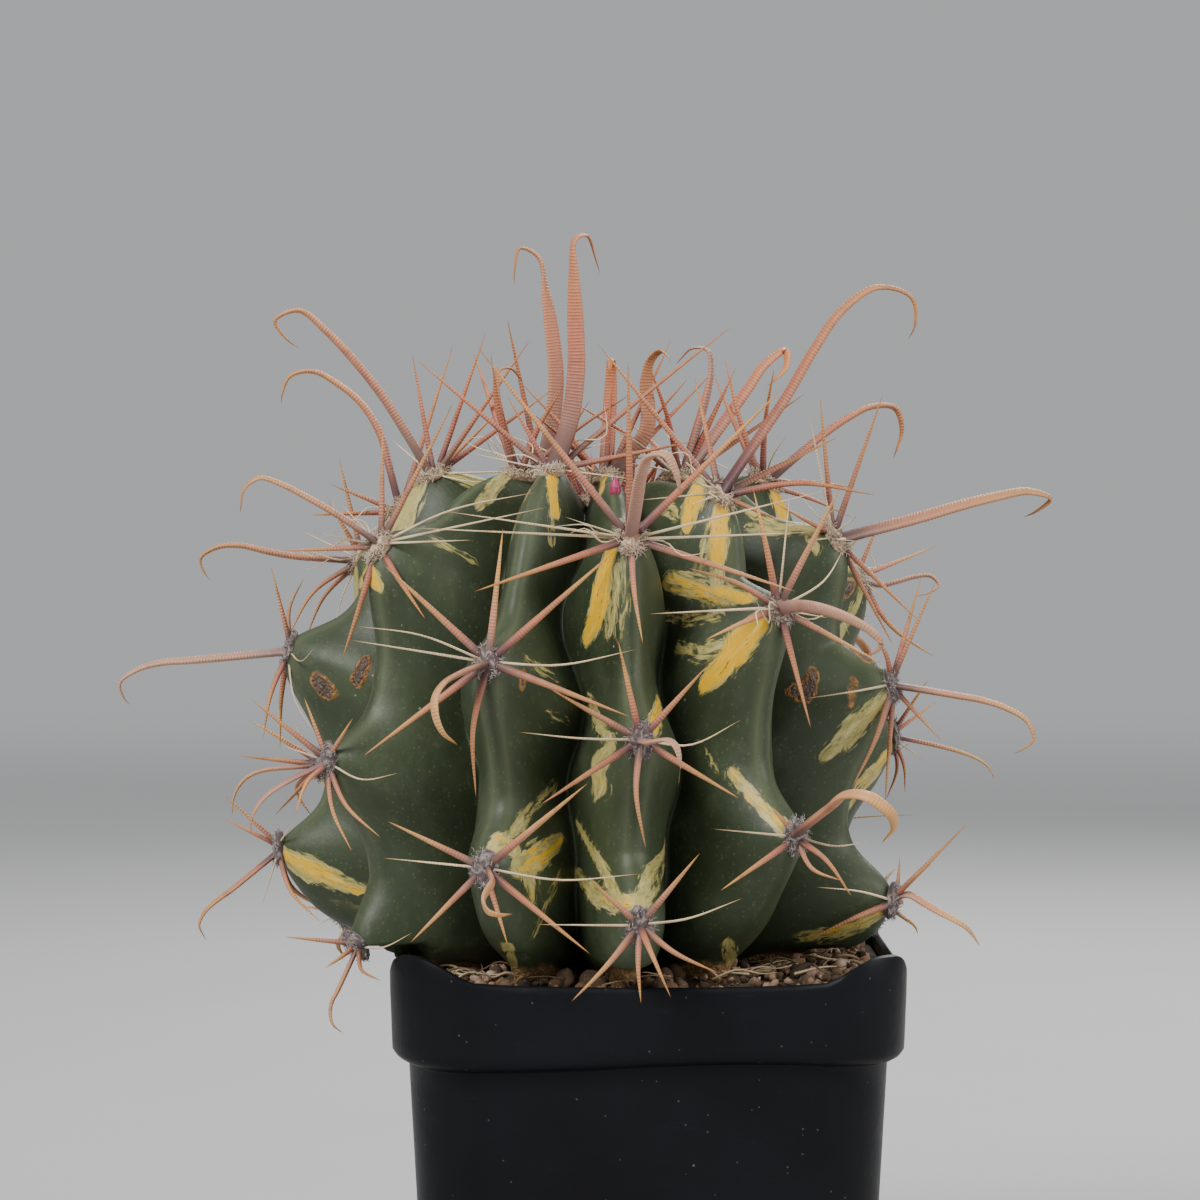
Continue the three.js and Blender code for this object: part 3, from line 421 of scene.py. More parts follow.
def fitted(tree, value, share, base):
    """value times share, plus base"""
    return calc(tree, "MULTIPLY_ADD", value, share, base)


def blend(tree, factor, first, second, mode="MIX"):
    return add(tree, "ShaderNodeMix", {0: factor, 6: first, 7: second},
               data_type="RGBA", blend_type=mode).outputs[2]


def noise(tree, vector, scale, detail=3.0, roughness=0.5):
    return add(tree, "ShaderNodeTexNoise",
               {"Vector": vector, "Scale": scale, "Detail": detail, "Roughness": roughness}).outputs[0]


def edge(tree, value, low, high):
    """A soft step from 0 to 1 between two values"""
    return add(tree, "ShaderNodeMapRange", {"Value": value, "From Min": low, "From Max": high},
               interpolation_type="SMOOTHSTEP").outputs[0]


def ramp(tree, factor, stops):
    node = add(tree, "ShaderNodeValToRGB", {0: factor})
    line = node.color_ramp
    while len(line.elements) < len(stops):
        line.elements.new(0.5)
    for element, (place, colour) in zip(line.elements, stops):
        element.position = place
        element.color = (*colour, 1)
    return node.outputs[0]


def tinge(tree, colour, mask, share, tone):
    """Lays a tone over a colour, as far as a mask times a share"""
    return blend(tree, times(tree, mask, share), colour, (*tone, 1))


def mottle(tree, colour, share, pattern, dark, light=(1, 1, 1)):
    """Darkens and lightens a colour along a pattern"""
    return blend(tree, share, colour, ramp(tree, pattern, [(0.3, dark), (0.7, light)]), mode="MULTIPLY")


def attribute(tree, name):
    return add(tree, "ShaderNodeAttribute", attribute_name=name)


def channels(tree, name):
    """The red, green and blue of a colour that the points carry"""
    split = add(tree, "ShaderNodeSeparateColor", {0: attribute(tree, name).outputs["Color"]})
    return split.outputs[0], split.outputs[1], split.outputs[2]


def here(tree):
    return add(tree, "ShaderNodeTexCoord").outputs["Object"]


def new_group(name, values, result):
    """A group that takes a vector and some values, and puts out one value"""
    group = bpy.data.node_groups.new(name, "ShaderNodeTree")
    group.interface.new_socket("Vector", in_out="INPUT", socket_type="NodeSocketVector")
    for value in values:
        group.interface.new_socket(value, in_out="INPUT", socket_type="NodeSocketFloat")
    group.interface.new_socket(result, in_out="OUTPUT", socket_type="NodeSocketFloat")
    return group, group.nodes.new("NodeGroupInput").outputs, group.nodes.new("NodeGroupOutput")


def frayed_edge_group():
    """A painted field cut off along an uneven, frayed edge"""
    group, given, leave = new_group("frayed_edge", ["Field", "Scale", "Fray"], "Mask")
    coarse = noise(group, given["Vector"], given["Scale"], 4, 0.62)
    shifted = fitted(group, calc(group, "SUBTRACT", coarse, 0.5), given["Fray"], given["Field"])
    group.links.new(edge(group, shifted, 0.38, 0.68), leave.inputs["Mask"])
    return group


def specks_group():
    """Scattered small specks, such as dust or pores"""
    group, given, leave = new_group("specks", ["Scale", "Size", "Share"], "Mask")
    cells = add(group, "ShaderNodeTexVoronoi", {"Vector": given["Vector"], "Scale": given["Scale"]})
    draw = add(group, "ShaderNodeSeparateColor", {0: cells.outputs["Color"]}).outputs[0]
    chosen = calc(group, "LESS_THAN", draw, given["Share"])
    close = calc(group, "LESS_THAN", cells.outputs["Distance"], given["Size"])
    group.links.new(times(group, chosen, close), leave.inputs["Mask"])
    return group


def grain_group():
    """Fine unevenness at two sizes, for bump and roughness"""
    group, given, leave = new_group("grain", ["Scale", "Rough"], "Height")
    large = noise(group, given["Vector"], given["Scale"], 2)
    small = noise(group, given["Vector"], times(group, given["Scale"], 5.0), 3, 0.7)
    group.links.new(fitted(group, small, given["Rough"], large), leave.inputs["Height"])
    return group


GROUPS = {"frayed": frayed_edge_group(), "specks": specks_group(), "grain": grain_group()}


def place_group(tree, name, vector, **values):
    return add(tree, "ShaderNodeGroup", {"Vector": vector, **values}, node_tree=GROUPS[name]).outputs[0]


def new_material(name):
    material = bpy.data.materials.new(name)
    material.use_nodes = True
    tree = material.node_tree
    tree.nodes.clear()
    surface = add(tree, "ShaderNodeBsdfPrincipled")
    add(tree, "ShaderNodeOutputMaterial", {"Surface": surface.outputs[0]})
    return material, tree, surface


def finish_surface(tree, surface, colour, roughness, height, depth, strength=1.0, **constants):
    bump = add(tree, "ShaderNodeBump", {"Height": height, "Distance": depth * MM, "Strength": strength})
    tree.links.new(colour, surface.inputs["Base Color"])
    tree.links.new(bump.outputs[0], surface.inputs["Normal"])
    if isinstance(roughness, bpy.types.NodeSocket):
        tree.links.new(roughness, surface.inputs["Roughness"])
    else:
        surface.inputs["Roughness"].default_value = roughness
    for name, value in constants.items():
        surface.inputs[name.replace("_", " ")].default_value = value


# Materials

def green_skin(tree, spot, flow, ridge_highlight, depth):
    """Grey-green, lighter on the ridges as painted highlight and darker in the grooves as painted shade,
    with bloom, streaks and pores
    """
    cloud = noise(tree, flow, 2.2, 4, 0.6)
    green = ramp(tree, cloud,
                 [(0.3, (0.027, 0.038, 0.017)), (0.5, (0.038, 0.052, 0.024)),
                  (0.72, (0.056, 0.073, 0.036))])
    # Painted highlight: a pale line along both shoulders of each rib's crest
    green = tinge(tree, green, ridge_highlight, 0.42, (0.13, 0.15, 0.08))
    # Painted shade: the grooves between the ribs are darkened
    green = tinge(tree, green, depth, 0.6, (0.015, 0.021, 0.009))
    bloom = edge(tree, noise(tree, spot, 38, 5, 0.65), 0.5, 0.72)
    green = tinge(tree, green, bloom, 0.25, (0.13, 0.145, 0.095))
    streaks = edge(tree, noise(tree, flow, 14, 4, 0.7), 0.56, 0.72)
    green = tinge(tree, green, streaks, 0.18, (0.16, 0.175, 0.08))
    pores = place_group(tree, "specks", spot, Scale=900, Size=0.24, Share=0.35)
    return tinge(tree, green, pores, 0.2, (0.18, 0.2, 0.1))


def variegated(tree, green, stroke, pale_field, yellow_field):
    """Cream marks with yellow cores and green islands, over the green"""
    pale_mask = place_group(tree, "frayed", stroke, Field=pale_field, Scale=0.9, Fray=2.1)
    blotch = edge(tree, noise(tree, stroke, 3.4, 4, 0.75), 0.5, 0.66)
    cream = ramp(tree, noise(tree, stroke, 1.1, 4, 0.7),
                 [(0.3, (0.2, 0.2, 0.055)), (0.5, (0.42, 0.36, 0.12)), (0.7, (0.62, 0.5, 0.24))])
    cream = tinge(tree, cream, blotch, 0.5, (0.1, 0.115, 0.035))
    colour = blend(tree, pale_mask, green, cream)
    yellow_mask = place_group(tree, "frayed", stroke, Field=yellow_field, Scale=0.8, Fray=1.7)
    yellow = ramp(tree, noise(tree, stroke, 0.7, 3, 0.6),
                  [(0.3, (0.6, 0.44, 0.03)), (0.5, (0.8, 0.42, 0.0)), (0.75, (0.78, 0.55, 0.08))])
    islands = edge(tree, noise(tree, stroke, 1.2, 4, 0.7), 0.59, 0.68)
    yellow = tinge(tree, yellow, islands, 0.85, (0.08, 0.1, 0.02))
    return blend(tree, yellow_mask, colour, yellow)


def skin_material():
    """Waxy grey-green skin with painted rib highlights and groove shade, cream and yellow marks, scabs and
    corky feet
    """
    material, tree, surface = new_material("waxy_skin")
    spot = here(tree)
    flow = attribute(tree, "flow").outputs["Vector"]
    stroke = attribute(tree, "stroke").outputs["Vector"]
    pale_field, yellow_field, scar_field = channels(tree, "marks")
    # The form carries the painted highlight on the crests' shoulders, the painted shade of the grooves and
    # the corky feet
    ridge_highlight, depth, foot = channels(tree, "form")
    green = green_skin(tree, spot, flow, ridge_highlight, depth)
    colour = variegated(tree, green, stroke, pale_field, yellow_field)

    cork_mask = place_group(tree, "frayed", flow, Field=foot, Scale=6, Fray=0.7)
    cork = ramp(tree, noise(tree, flow, 16, 4, 0.7),
                [(0.3, (0.16, 0.085, 0.03)), (0.55, (0.36, 0.21, 0.09)), (0.75, (0.58, 0.42, 0.22))])
    colour = blend(tree, cork_mask, colour, cork)

    rim_mask = place_group(tree, "frayed", spot, Field=scar_field, Scale=480, Fray=0.5)
    core_mask = edge(tree, scar_field, 0.6, 0.75)
    grainy = add(tree, "ShaderNodeMapping", {"Vector": stroke, "Scale": (2.0, 2.6, 1)}).outputs[0]
    cracks = add(tree, "ShaderNodeTexVoronoi", {"Vector": spot, "Scale": 900},
                 feature="DISTANCE_TO_EDGE").outputs[0]
    scab = ramp(tree, noise(tree, grainy, 1.6, 4, 0.75),
                [(0.35, (0.035, 0.022, 0.016)), (0.55, (0.14, 0.095, 0.07)), (0.75, (0.36, 0.27, 0.2))])
    rust = ramp(tree, noise(tree, spot, 600, 3, 0.6),
                [(0.35, (0.2, 0.075, 0.015)), (0.7, (0.52, 0.26, 0.07))])
    colour = blend(tree, rim_mask, colour, blend(tree, core_mask, rust, scab))

    dust = place_group(tree, "specks", spot, Scale=260, Size=0.07, Share=0.1)
    colour = tinge(tree, colour, dust, 0.5, (0.5, 0.48, 0.42))

    grain = place_group(tree, "grain", spot, Scale=260, Rough=0.35)
    dry = calc(tree, "MAXIMUM", rim_mask, cork_mask)
    crackle = times(tree, calc(tree, "MULTIPLY", cracks, 3.0, clamp=True), dry)
    height = fitted(tree, crackle, 2.2, grain)
    roughness = fitted(tree, dry, 0.35, fitted(tree, grain, 0.12, 0.4))
    finish_surface(tree, surface, colour, roughness, height, 0.14, IOR=1.4)
    return material


def horn_colour(tree, along, young, tint):
    """Purplish grey at the root, tan along the shaft and amber to the tip; redder while young"""
    old = ramp(tree, along,
               [(0.0, (0.045, 0.024, 0.03)), (0.1, (0.15, 0.06, 0.055)), (0.26, (0.46, 0.15, 0.085)),
                (0.62, (0.58, 0.24, 0.085)), (0.9, (0.55, 0.21, 0.03)), (1.0, (0.14, 0.035, 0.01))])
    fresh = ramp(tree, along,
                 [(0.0, (0.06, 0.03, 0.038)), (0.18, (0.19, 0.055, 0.055)), (0.45, (0.4, 0.045, 0.03)),
                  (0.8, (0.45, 0.085, 0.035)), (0.93, (0.46, 0.14, 0.025)), (1.0, (0.14, 0.03, 0.01))])
    colour = blend(tree, times(tree, young, fitted(tree, tint, 0.6, 0.4)), old, fresh)
    tan = blend(tree, tint, (0.5, 0.19, 0.06, 1), (0.72, 0.4, 0.08, 1))
    drier = times(tree, edge(tree, along, 0.3, 0.85), fitted(tree, young, -0.55, 0.7))
    colour = blend(tree, drier, colour, tan)
    colour = tinge(tree, colour, edge(tree, tint, 0.84, 0.94), 0.75, (0.26, 0.13, 0.13))
    tip = edge(tree, along, 0.93, 1.0)
    return tinge(tree, colour, tip, 0.8, (0.2, 0.06, 0.02))


def horn_material():
    """Ringed horny spines: purplish grey roots, pinkish tan shafts, amber tips, cream bristles"""
    material, tree, surface = new_material("ringed_horn")
    along, young, tint = channels(tree, "grow")
    pale = attribute(tree, "grow").outputs["Alpha"]
    ring = attribute(tree, "ring").outputs["Fac"]
    spot = here(tree)

    colour = horn_colour(tree, along, young, tint)
    bristle = ramp(tree, along,
                   [(0.0, (0.45, 0.3, 0.16)), (0.15, (0.86, 0.72, 0.46)), (0.8, (0.88, 0.7, 0.4)),
                    (1.0, (0.55, 0.26, 0.06))])
    colour = blend(tree, pale, colour, bristle)
    wander = times(tree, noise(tree, spot, 300, 2), 1.2)
    wave = calc(tree, "SINE", fitted(tree, ring, 2 * math.pi / RING_PITCH, wander))
    band = edge(tree, fitted(tree, wave, 0.5, 0.5), 0.35, 0.95)
    from_tip = calc(tree, "SUBTRACT", 1.0, along)
    shaft = times(tree, edge(tree, along, 0.1, 0.25), edge(tree, from_tip, 0.03, 0.2))
    banded = times(tree, band, shaft)
    colour = tinge(tree, colour, banded, 0.22, (0.76, 0.36, 0.18))
    margin = times(tree, attribute(tree, "margin").outputs["Fac"], shaft)
    colour = tinge(tree, colour, margin, 0.3, (0.75, 0.42, 0.24))
    chalk = edge(tree, noise(tree, spot, 420, 4, 0.7), 0.54, 0.72)
    chalky = times(tree, chalk, fitted(tree, young, -0.1, 0.22))
    colour = blend(tree, chalky, colour, (0.6, 0.42, 0.32, 1))
    patches = edge(tree, noise(tree, spot, 130, 3, 0.6), 0.5, 0.7)
    colour = tinge(tree, colour, patches, 0.35, (0.16, 0.06, 0.05))
    shade = fitted(tree, tint, 0.35, 0.75)
    grey = add(tree, "ShaderNodeCombineColor", {0: shade, 1: shade, 2: shade}).outputs[0]
    colour = blend(tree, 1.0, colour, grey, mode="MULTIPLY")
    grain = place_group(tree, "grain", spot, Scale=900, Rough=0.5)
    height = fitted(tree, banded, 1.4, grain)
    finish_surface(tree, surface, colour, fitted(tree, grain, 0.12, 0.42), height, 0.065, IOR=1.5)
    return material


def felt_material():
    """Wool of the areoles: cream while young, grey and matted when old"""
    material, tree, surface = new_material("areole_felt")
    _, young, tint = channels(tree, "grow")
    old = ramp(tree, tint,
               [(0.0, (0.04, 0.025, 0.028)), (0.4, (0.13, 0.095, 0.09)), (0.75, (0.38, 0.32, 0.3)),
                (1.0, (0.62, 0.56, 0.52))])
    fresh = ramp(tree, tint,
                 [(0.0, (0.26, 0.13, 0.09)), (0.35, (0.62, 0.42, 0.26)), (0.7, (0.86, 0.68, 0.46)),
                  (1.0, (0.92, 0.8, 0.64))])
    colour = blend(tree, young, old, fresh)
    fuzz = noise(tree, here(tree), 2200, 3, 0.7)
    colour = mottle(tree, colour, 0.35, fuzz, (0.25, 0.22, 0.2))
    finish_surface(tree, surface, colour, 0.95, fuzz, 0.35, Sheen_Weight=0.3)
    return material


def stone_material():
    """Dry grit: brown, tan, grey and pinkish stones, dusty and matt"""
    material, tree, surface = new_material("dry_grit")
    tint = attribute(tree, "tint").outputs["Fac"]
    spot = here(tree)
    colour = ramp(tree, tint,
                  [(0.0, (0.035, 0.024, 0.014)), (0.25, (0.1, 0.062, 0.034)),
                   (0.45, (0.2, 0.12, 0.065)), (0.62, (0.32, 0.19, 0.11)), (0.8, (0.42, 0.28, 0.2)),
                   (1.0, (0.56, 0.46, 0.36))])
    patch = noise(tree, spot, 500, 4, 0.65)
    colour = mottle(tree, colour, 0.75, patch, (0.4, 0.38, 0.36), (1.15, 1.1, 1.05))
    grit = place_group(tree, "specks", spot, Scale=1500, Size=0.3, Share=0.25)
    colour = tinge(tree, colour, grit, 0.4, (0.4, 0.35, 0.28))
    grain = place_group(tree, "grain", spot, Scale=800, Rough=0.8)
    finish_surface(tree, surface, colour, 0.92, grain, 0.3)
    return material


def straw_material():
    """Dead spines and straws lying on the grit"""
    material, tree, surface = new_material("dry_straw")
    tint = attribute(tree, "tint").outputs["Fac"]
    colour = ramp(tree, tint,
                  [(0.0, (0.12, 0.075, 0.04)), (0.5, (0.36, 0.25, 0.13)), (1.0, (0.6, 0.5, 0.33))])
    fibre = noise(tree, here(tree), 1200, 3, 0.7)
    colour = mottle(tree, colour, 0.6, fibre, (0.5, 0.45, 0.4))
    finish_surface(tree, surface, colour, 0.8, fibre, 0.12)
    return material


def pot_material():
    """Thin black nursery plastic with a soft blue-grey sheen, scuffs and dust"""
    material, tree, surface = new_material("nursery_plastic")
    spot = here(tree)
    cloud = noise(tree, spot, 22, 4, 0.6)
    colour = ramp(tree, cloud, [(0.3, (0.0032, 0.0033, 0.0045)), (0.7, (0.006, 0.0063, 0.0085))])
    scuff_flow = add(tree, "ShaderNodeMapping", {"Vector": spot, "Scale": (60, 60, 420)}).outputs[0]
    scuff = edge(tree, noise(tree, scuff_flow, 1.0, 5, 0.7), 0.6, 0.78)
    colour = tinge(tree, colour, scuff, 0.3, (0.022, 0.023, 0.029))
    dust = place_group(tree, "specks", spot, Scale=210, Size=0.07, Share=0.06)
    fine_dust = place_group(tree, "specks", spot, Scale=640, Size=0.14, Share=0.1)
    dusty = calc(tree, "MAXIMUM", dust, times(tree, fine_dust, 0.5))
    colour = tinge(tree, colour, dusty, 0.5, (0.2, 0.2, 0.19))
    grain = place_group(tree, "grain", spot, Scale=120, Rough=0.25)
    roughness = fitted(tree, cloud, 0.22, fitted(tree, scuff, 0.18, 0.3))
    finish_surface(tree, surface, colour, roughness, grain, 0.35, 0.6, IOR=1.45, Specular_IOR_Level=0.17)
    return material


def bud_material():
    material, tree, surface = new_material("flower_bud")
    tip = attribute(tree, "tint").outputs["Fac"]
    colour = ramp(tree, tip,
                  [(0.0, (0.09, 0.11, 0.05)), (0.35, (0.3, 0.03, 0.08)), (1.0, (0.5, 0.02, 0.15))])
    veins = noise(tree, here(tree), 1500, 3, 0.6)
    colour = mottle(tree, colour, 0.5, veins, (0.6, 0.55, 0.6))
    finish_surface(tree, surface, colour, 0.45, veins, 0.1)
    return material


# Meshes

class Growth:
    """Gathers many small closed shapes, and what each point carries, into one mesh"""

    def __init__(self):
        self.points = []
        self.faces = []
        self.kinds = []
        self.carried = {}
        self.count = 0

    def join(self, points, faces, kind=0, **carried):
        self.points.append(np.asarray(points, float))
        self.faces.extend([tuple(self.count + i for i in face) for face in faces])
        self.kinds.extend([kind] * len(faces))
        for name, values in carried.items():
            self.carried.setdefault(name, []).append(np.asarray(values, float))
        self.count += len(points)

    def make(self, name, materials):
        mesh = bpy.data.meshes.new(name)
        mesh.from_pydata((np.vstack(self.points) * MM).tolist(), [], self.faces)
        for material in materials:
            mesh.materials.append(material)
        mesh.polygons.foreach_set("material_index", self.kinds)
        mesh.polygons.foreach_set("use_smooth", [True] * len(mesh.polygons))
        for label, values in self.carried.items():
            write_attribute(mesh, label, np.concatenate(values))
        mesh.update()
        piece = bpy.data.objects.new(name, mesh)
        bpy.context.scene.collection.objects.link(piece)
        return piece


def write_attribute(mesh, name, values):
    kind, slot = {1: ("FLOAT", "value"), 3: ("FLOAT_VECTOR", "vector"), 4: ("FLOAT_COLOR", "color")}[
        1 if values.ndim == 1 else values.shape[1]]
    mesh.attributes.new(name, kind, "POINT").data.foreach_set(slot, values.astype(np.float32).ravel())


def tube_faces(rings, sides):
    """Walls between rings of points and a fan over each end; the two end points come last"""
    faces = []
    foot, tip = rings * sides, rings * sides + 1
    for i in range(sides):
        following = (i + 1) % sides
        for row in range(rings - 1):
            low, high = row * sides, (row + 1) * sides
            faces.append((low + i, low + following, high + following, high + i))
        faces.append((foot, following, i))
        faces.append((tip, (rings - 1) * sides + i, (rings - 1) * sides + following))
    return faces


def tube(path, wide, widths, depths, sides, flatness=1.0):
    """Rings round a path. wide is the direction of the section's width"""
    tangent = unit(np.gradient(path, axis=0))
    wide = np.broadcast_to(wide, path.shape)
    across = unit(wide - tangent * (tangent * wide).sum(axis=1)[:, None])
    deep = np.cross(tangent, across)
    angle = 2 * np.pi * np.arange(sides) / sides
    wave_x, wave_y = np.cos(angle), np.sin(angle)
    wave_y = np.where(wave_y > 0, wave_y * flatness, wave_y)
    return (path[:, None] + across[:, None] * (widths[:, None] * wave_x)[..., None]
            + deep[:, None] * (depths[:, None] * wave_y)[..., None])


def grow_tube(growth, path, wide, widths, depths, sides, kind, young, tint, pale, flatness=1.0, margin=0.0):
    """One spine or hair: the last point of the path is its sharp tip"""
    rings = tube(path, wide, widths, depths, sides, flatness)[:-1]
    reach = np.concatenate([[0], np.cumsum(np.linalg.norm(np.diff(path, axis=0), axis=1))])
    along = reach / reach[-1]
    shares = np.concatenate([np.repeat(along[:-1], sides), [0, 1]])
    lengths = np.concatenate([np.repeat(reach[:-1], sides), [0, reach[-1]]])
    grow = np.stack([shares, 0 * shares + young, 0 * shares + tint, 0 * shares + pale], axis=-1)
    points = closed(rings, path)
    edges = np.abs(np.cos(2 * np.pi * np.arange(sides) / sides)) ** 4 * margin
    rim = np.append(np.tile(edges, len(rings)), [0, 0])
    growth.join(points, tube_faces(len(rings), sides), kind, grow=grow, ring=lengths, margin=rim)


def merged_node(node):
    """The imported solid's points and triangles, with shared corners merged, in millimetres"""
    mesh = node.data
    mesh.calc_loop_triangles()
    places = np.empty(len(mesh.vertices) * 3)
    mesh.vertices.foreach_get("co", places)
    corners = np.empty(len(mesh.loop_triangles) * 3, dtype=int)
    mesh.loop_triangles.foreach_get("vertices", corners)
    points, shared = np.unique(np.round(places.reshape(-1, 3) / MM, 4), axis=0, return_inverse=True)
    return points, shared.reshape(-1)[corners].reshape(-1, 3)


def read_spines(areole):
    """The centre line of every spine of an areole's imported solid, found ring by ring from its tip"""
    points, triangles = merged_node(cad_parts["spines_" + areole["name"]])
    near = [set() for _ in points]
    for a, b, c in triangles:
        near[a] |= {b, c}
        near[b] |= {a, c}
        near[c] |= {a, b}
    spines = []
    for tip, ring in enumerate(near):
        if len(ring) not in (3, 4):
            continue
        rays = points[list(ring)] - points[tip]
        closeness = (unit(rays) @ unit(rays).T).min()
        rings = [ring]
        seen = {tip} | ring
        while True:
            following = set().union(*[near[i] for i in rings[-1]]) - seen
            if len(following) != len(ring):
                break
            rings.append(following)
            seen |= following
        sharp = closeness > 0.8 and np.linalg.norm(rays, axis=1).min() > 1
        if len(ring) == 3 and sharp or len(ring) == 4 and len(rings) > 4:
            spines.append(spine_line(areole, points, points[tip], rings))
    return spines


def spine_line(areole, points, tip, rings):
    centres = [points[list(ring)].mean(axis=0) for ring in rings[::-1]]
    widest = points[list(rings[-1])] - centres[0]
    radius = np.linalg.norm(widest, axis=1).max()
    wide = unit(widest[np.argmax(np.linalg.norm(widest, axis=1))])
    heading = unit(centres[0] - areole["place"])
    spread = heading - areole["out"] * (heading @ areole["out"])
    root = areole["place"] + areole["out"] * ROOT_DEPTH + spread * ROOT_SPREAD
    kind = "hook" if len(rings[0]) == 4 else "stout" if radius > 0.37 else "thin"
    return {"kind": kind, "wide": wide, "path": smooth_path([root, *centres, tip])}


def grow_spine(growth, spine, areole):
    kind, wide = spine["kind"], spine["wide"]
    hook, crown = kind == "hook", areole["t"] > CROWN_START
    horn = HORN[kind]
    length = path_length(spine["path"])
    rings = {"hook": int(length / RING_PITCH * 2), "stout": STOUT_RINGS, "thin": THIN_RINGS}[kind]
    share = np.linspace(0, 1, rings) if hook else 1 - (1 - np.linspace(0, 1, rings)) ** 1.15
    path = at_share(spine["path"], share)
    taper = np.maximum((1 - share ** horn["taper"]) ** 0.8, 0.02)
    taper *= 1 + 0.18 * np.exp(-(share * length / 1.6) ** 2)
    size = taper * min(1.0, max(0.6, length / FULL_HOOK_LENGTH) if hook else 0.6 + length / 75)
    width, depth = horn["width"] * size, horn["depth"] * size
    if hook:
        ridges = RIDGE_HEIGHT * np.where(np.arange(rings) % 2, 1, -1)
        ridged = 1 + ridges * smoothstep(0.06, 0.2, share) * smoothstep(0, 0.2, 1 - share)
        width = width * ridged * (CROWN_HOOK_WIDTH if crown else 1)
        depth = depth * ridged * (0.85 if crown else 1)
    pale = 0.9 if kind == "thin" else chance.uniform(0.0, 0.12)
    if hook and crown:
        wide = turned_width(path, wide, areole, share)
    fresh = float(smoothstep(0.58, 0.86, areole["t"]))
    tint = MAUVE if hook and areole["name"] in MAUVE_HOOKS else chance.random() * 0.8
    grow_tube(growth, path, wide, width, depth, horn["sides"], 0, fresh, tint, pale,
              flatness=0.72 if hook else 1.0, margin=1.0 if hook else 0.0)


def turned_width(path, wide, areole, share):
    """The flat shaft of a crown hook faces outwards at its root and turns into its curl's plane"""
    radial = areole["place"] - [PLANT_X, 0, 0]
    radial = unit(np.array([radial[0], radial[1], 0]))
    facing = unit(np.cross(path[2] - path[0], radial))
    facing = facing * (1 if facing @ wide > 0 else -1)
    turn = smoothstep(0.5, 0.85, share)[:, None]
    return unit(facing * (1 - turn) + wide * turn)


def grow_felt(growth, areole):
    """The matted cushion that the spines stand in"""
    rows, columns = 9, 20
    angle = 2 * np.pi * np.arange(columns) / columns
    rings = []
    for row in range(rows):
        rise = -0.5 + (row / (rows - 1)) * 1.95
        lift, reach = math.sin(rise), math.cos(rise)
        lump = 1 + 0.09 * np.sin(3 * angle + areole["t"] * 40) + 0.06 * np.sin(7 * angle + row)
        rings.append(areole["place"] + areole["out"] * (lift * FELT["out"])
                     + np.outer(np.cos(angle) * lump * reach * FELT["across"], areole["side"])
                     + np.outer(np.sin(angle) * lump * reach * FELT["along"], areole["along"]))
    ends = [areole["place"] - areole["out"] * 1.4, areole["place"] + areole["out"] * (FELT["out"] * 1.02)]
    points = np.vstack([*rings, *ends])
    shade = np.array([chance.choice([0.05, 0.3, 0.6]) + chance.uniform(0, 0.15) for _ in points])
    grow = np.stack([0 * shade, 0 * shade + areole["young"], shade, 0 * shade], axis=-1)
    growth.join(points, tube_faces(rows, columns), 1, grow=grow, ring=0 * shade, margin=0 * shade)


def grow_wool(growth, areole, count, length):
    """Short curled fibres round and over the cushion"""
    for _ in range(count):
        clock = chance.uniform(0, 2 * math.pi)
        reach = chance.uniform(0.55, 1.08) ** 0.7
        lift = math.sqrt(max(0.0, 1 - min(reach, 1) ** 2))
        flat = (areole["side"] * math.cos(clock) * FELT["across"]
                + areole["along"] * math.sin(clock) * FELT["along"])
        root = areole["place"] + flat * reach * 0.92 + areole["out"] * (lift * FELT["out"] * 0.9 - 0.1)
        stray = wild()
        heading = unit(unit(flat) * chance.uniform(0.1, 0.9) + areole["out"] * chance.uniform(0.4, 1)
                       + stray * 0.45)
        turn = unit(np.cross(heading, stray))
        size = length * chance.uniform(0.5, 1.2)
        tip = root + heading * size + turn * size * chance.uniform(-0.4, 0.4)
        knots = [root, root + heading * size * 0.4 + turn * size * 0.12,
                 root + heading * size * 0.75 - turn * size * 0.1, tip - areole["out"] * size * 0.25]
        path = at_share(smooth_path(knots, 6), np.linspace(0, 1, 5))
        thick = np.array([0.08, 0.1, 0.09, 0.07, 0.02])
        grow_tube(growth, path, turn, thick, thick, 3, 1, areole["young"], chance.uniform(0.45, 1), 0)


def grow_bristles(growth, areole, count):
    """Long, hair-thin curly bristles of the youngest areoles"""
    for _ in range(count):
        clock = chance.choice([1, -1]) * chance.uniform(1.0, 2.2)
        heading = unit(areole["side"] * math.sin(clock) + areole["along"] * math.cos(clock)
                       + areole["out"] * chance.uniform(0.25, 0.7))
        size = chance.uniform(11, 19)
        sway = unit(np.cross(heading, wild()))
        root = areole["place"] + areole["out"] * 0.6 + heading * 1.5
        knots = [root, root + heading * size * 0.35 + sway * size * 0.1,
                 root + heading * size * 0.7 - sway * size * 0.12,
                 root + heading * size + sway * size * chance.uniform(-0.25, 0.3)]
        path = at_share(smooth_path(knots, 8), np.linspace(0, 1, 12))
        thick = 0.2 * (1 - np.linspace(0, 1, 12) ** 2) + 0.02
        grow_tube(growth, path, sway, thick, thick, 4, 0, areole["young"], chance.random(), 1)


def make_tufts(horn, felt):
    for rib in RIBS:
        for order in range(len(AREOLES[rib])):
            areole = areole_frame(rib, order)
            growth = Growth()
            for spine in read_spines(areole):
                grow_spine(growth, spine, areole)
            grow_felt(growth, areole)
            grow_wool(growth, areole, int(120 + 240 * areole["young"]), 1.5 + 0.7 * areole["young"])
            if areole["young"] > 0.3:
                grow_bristles(growth, areole, 3)
            tuft = growth.make("tuft_" + areole["name"], [horn, felt])
            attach(tuft, "root")
            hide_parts("spines_" + areole["name"])


# The plant's body

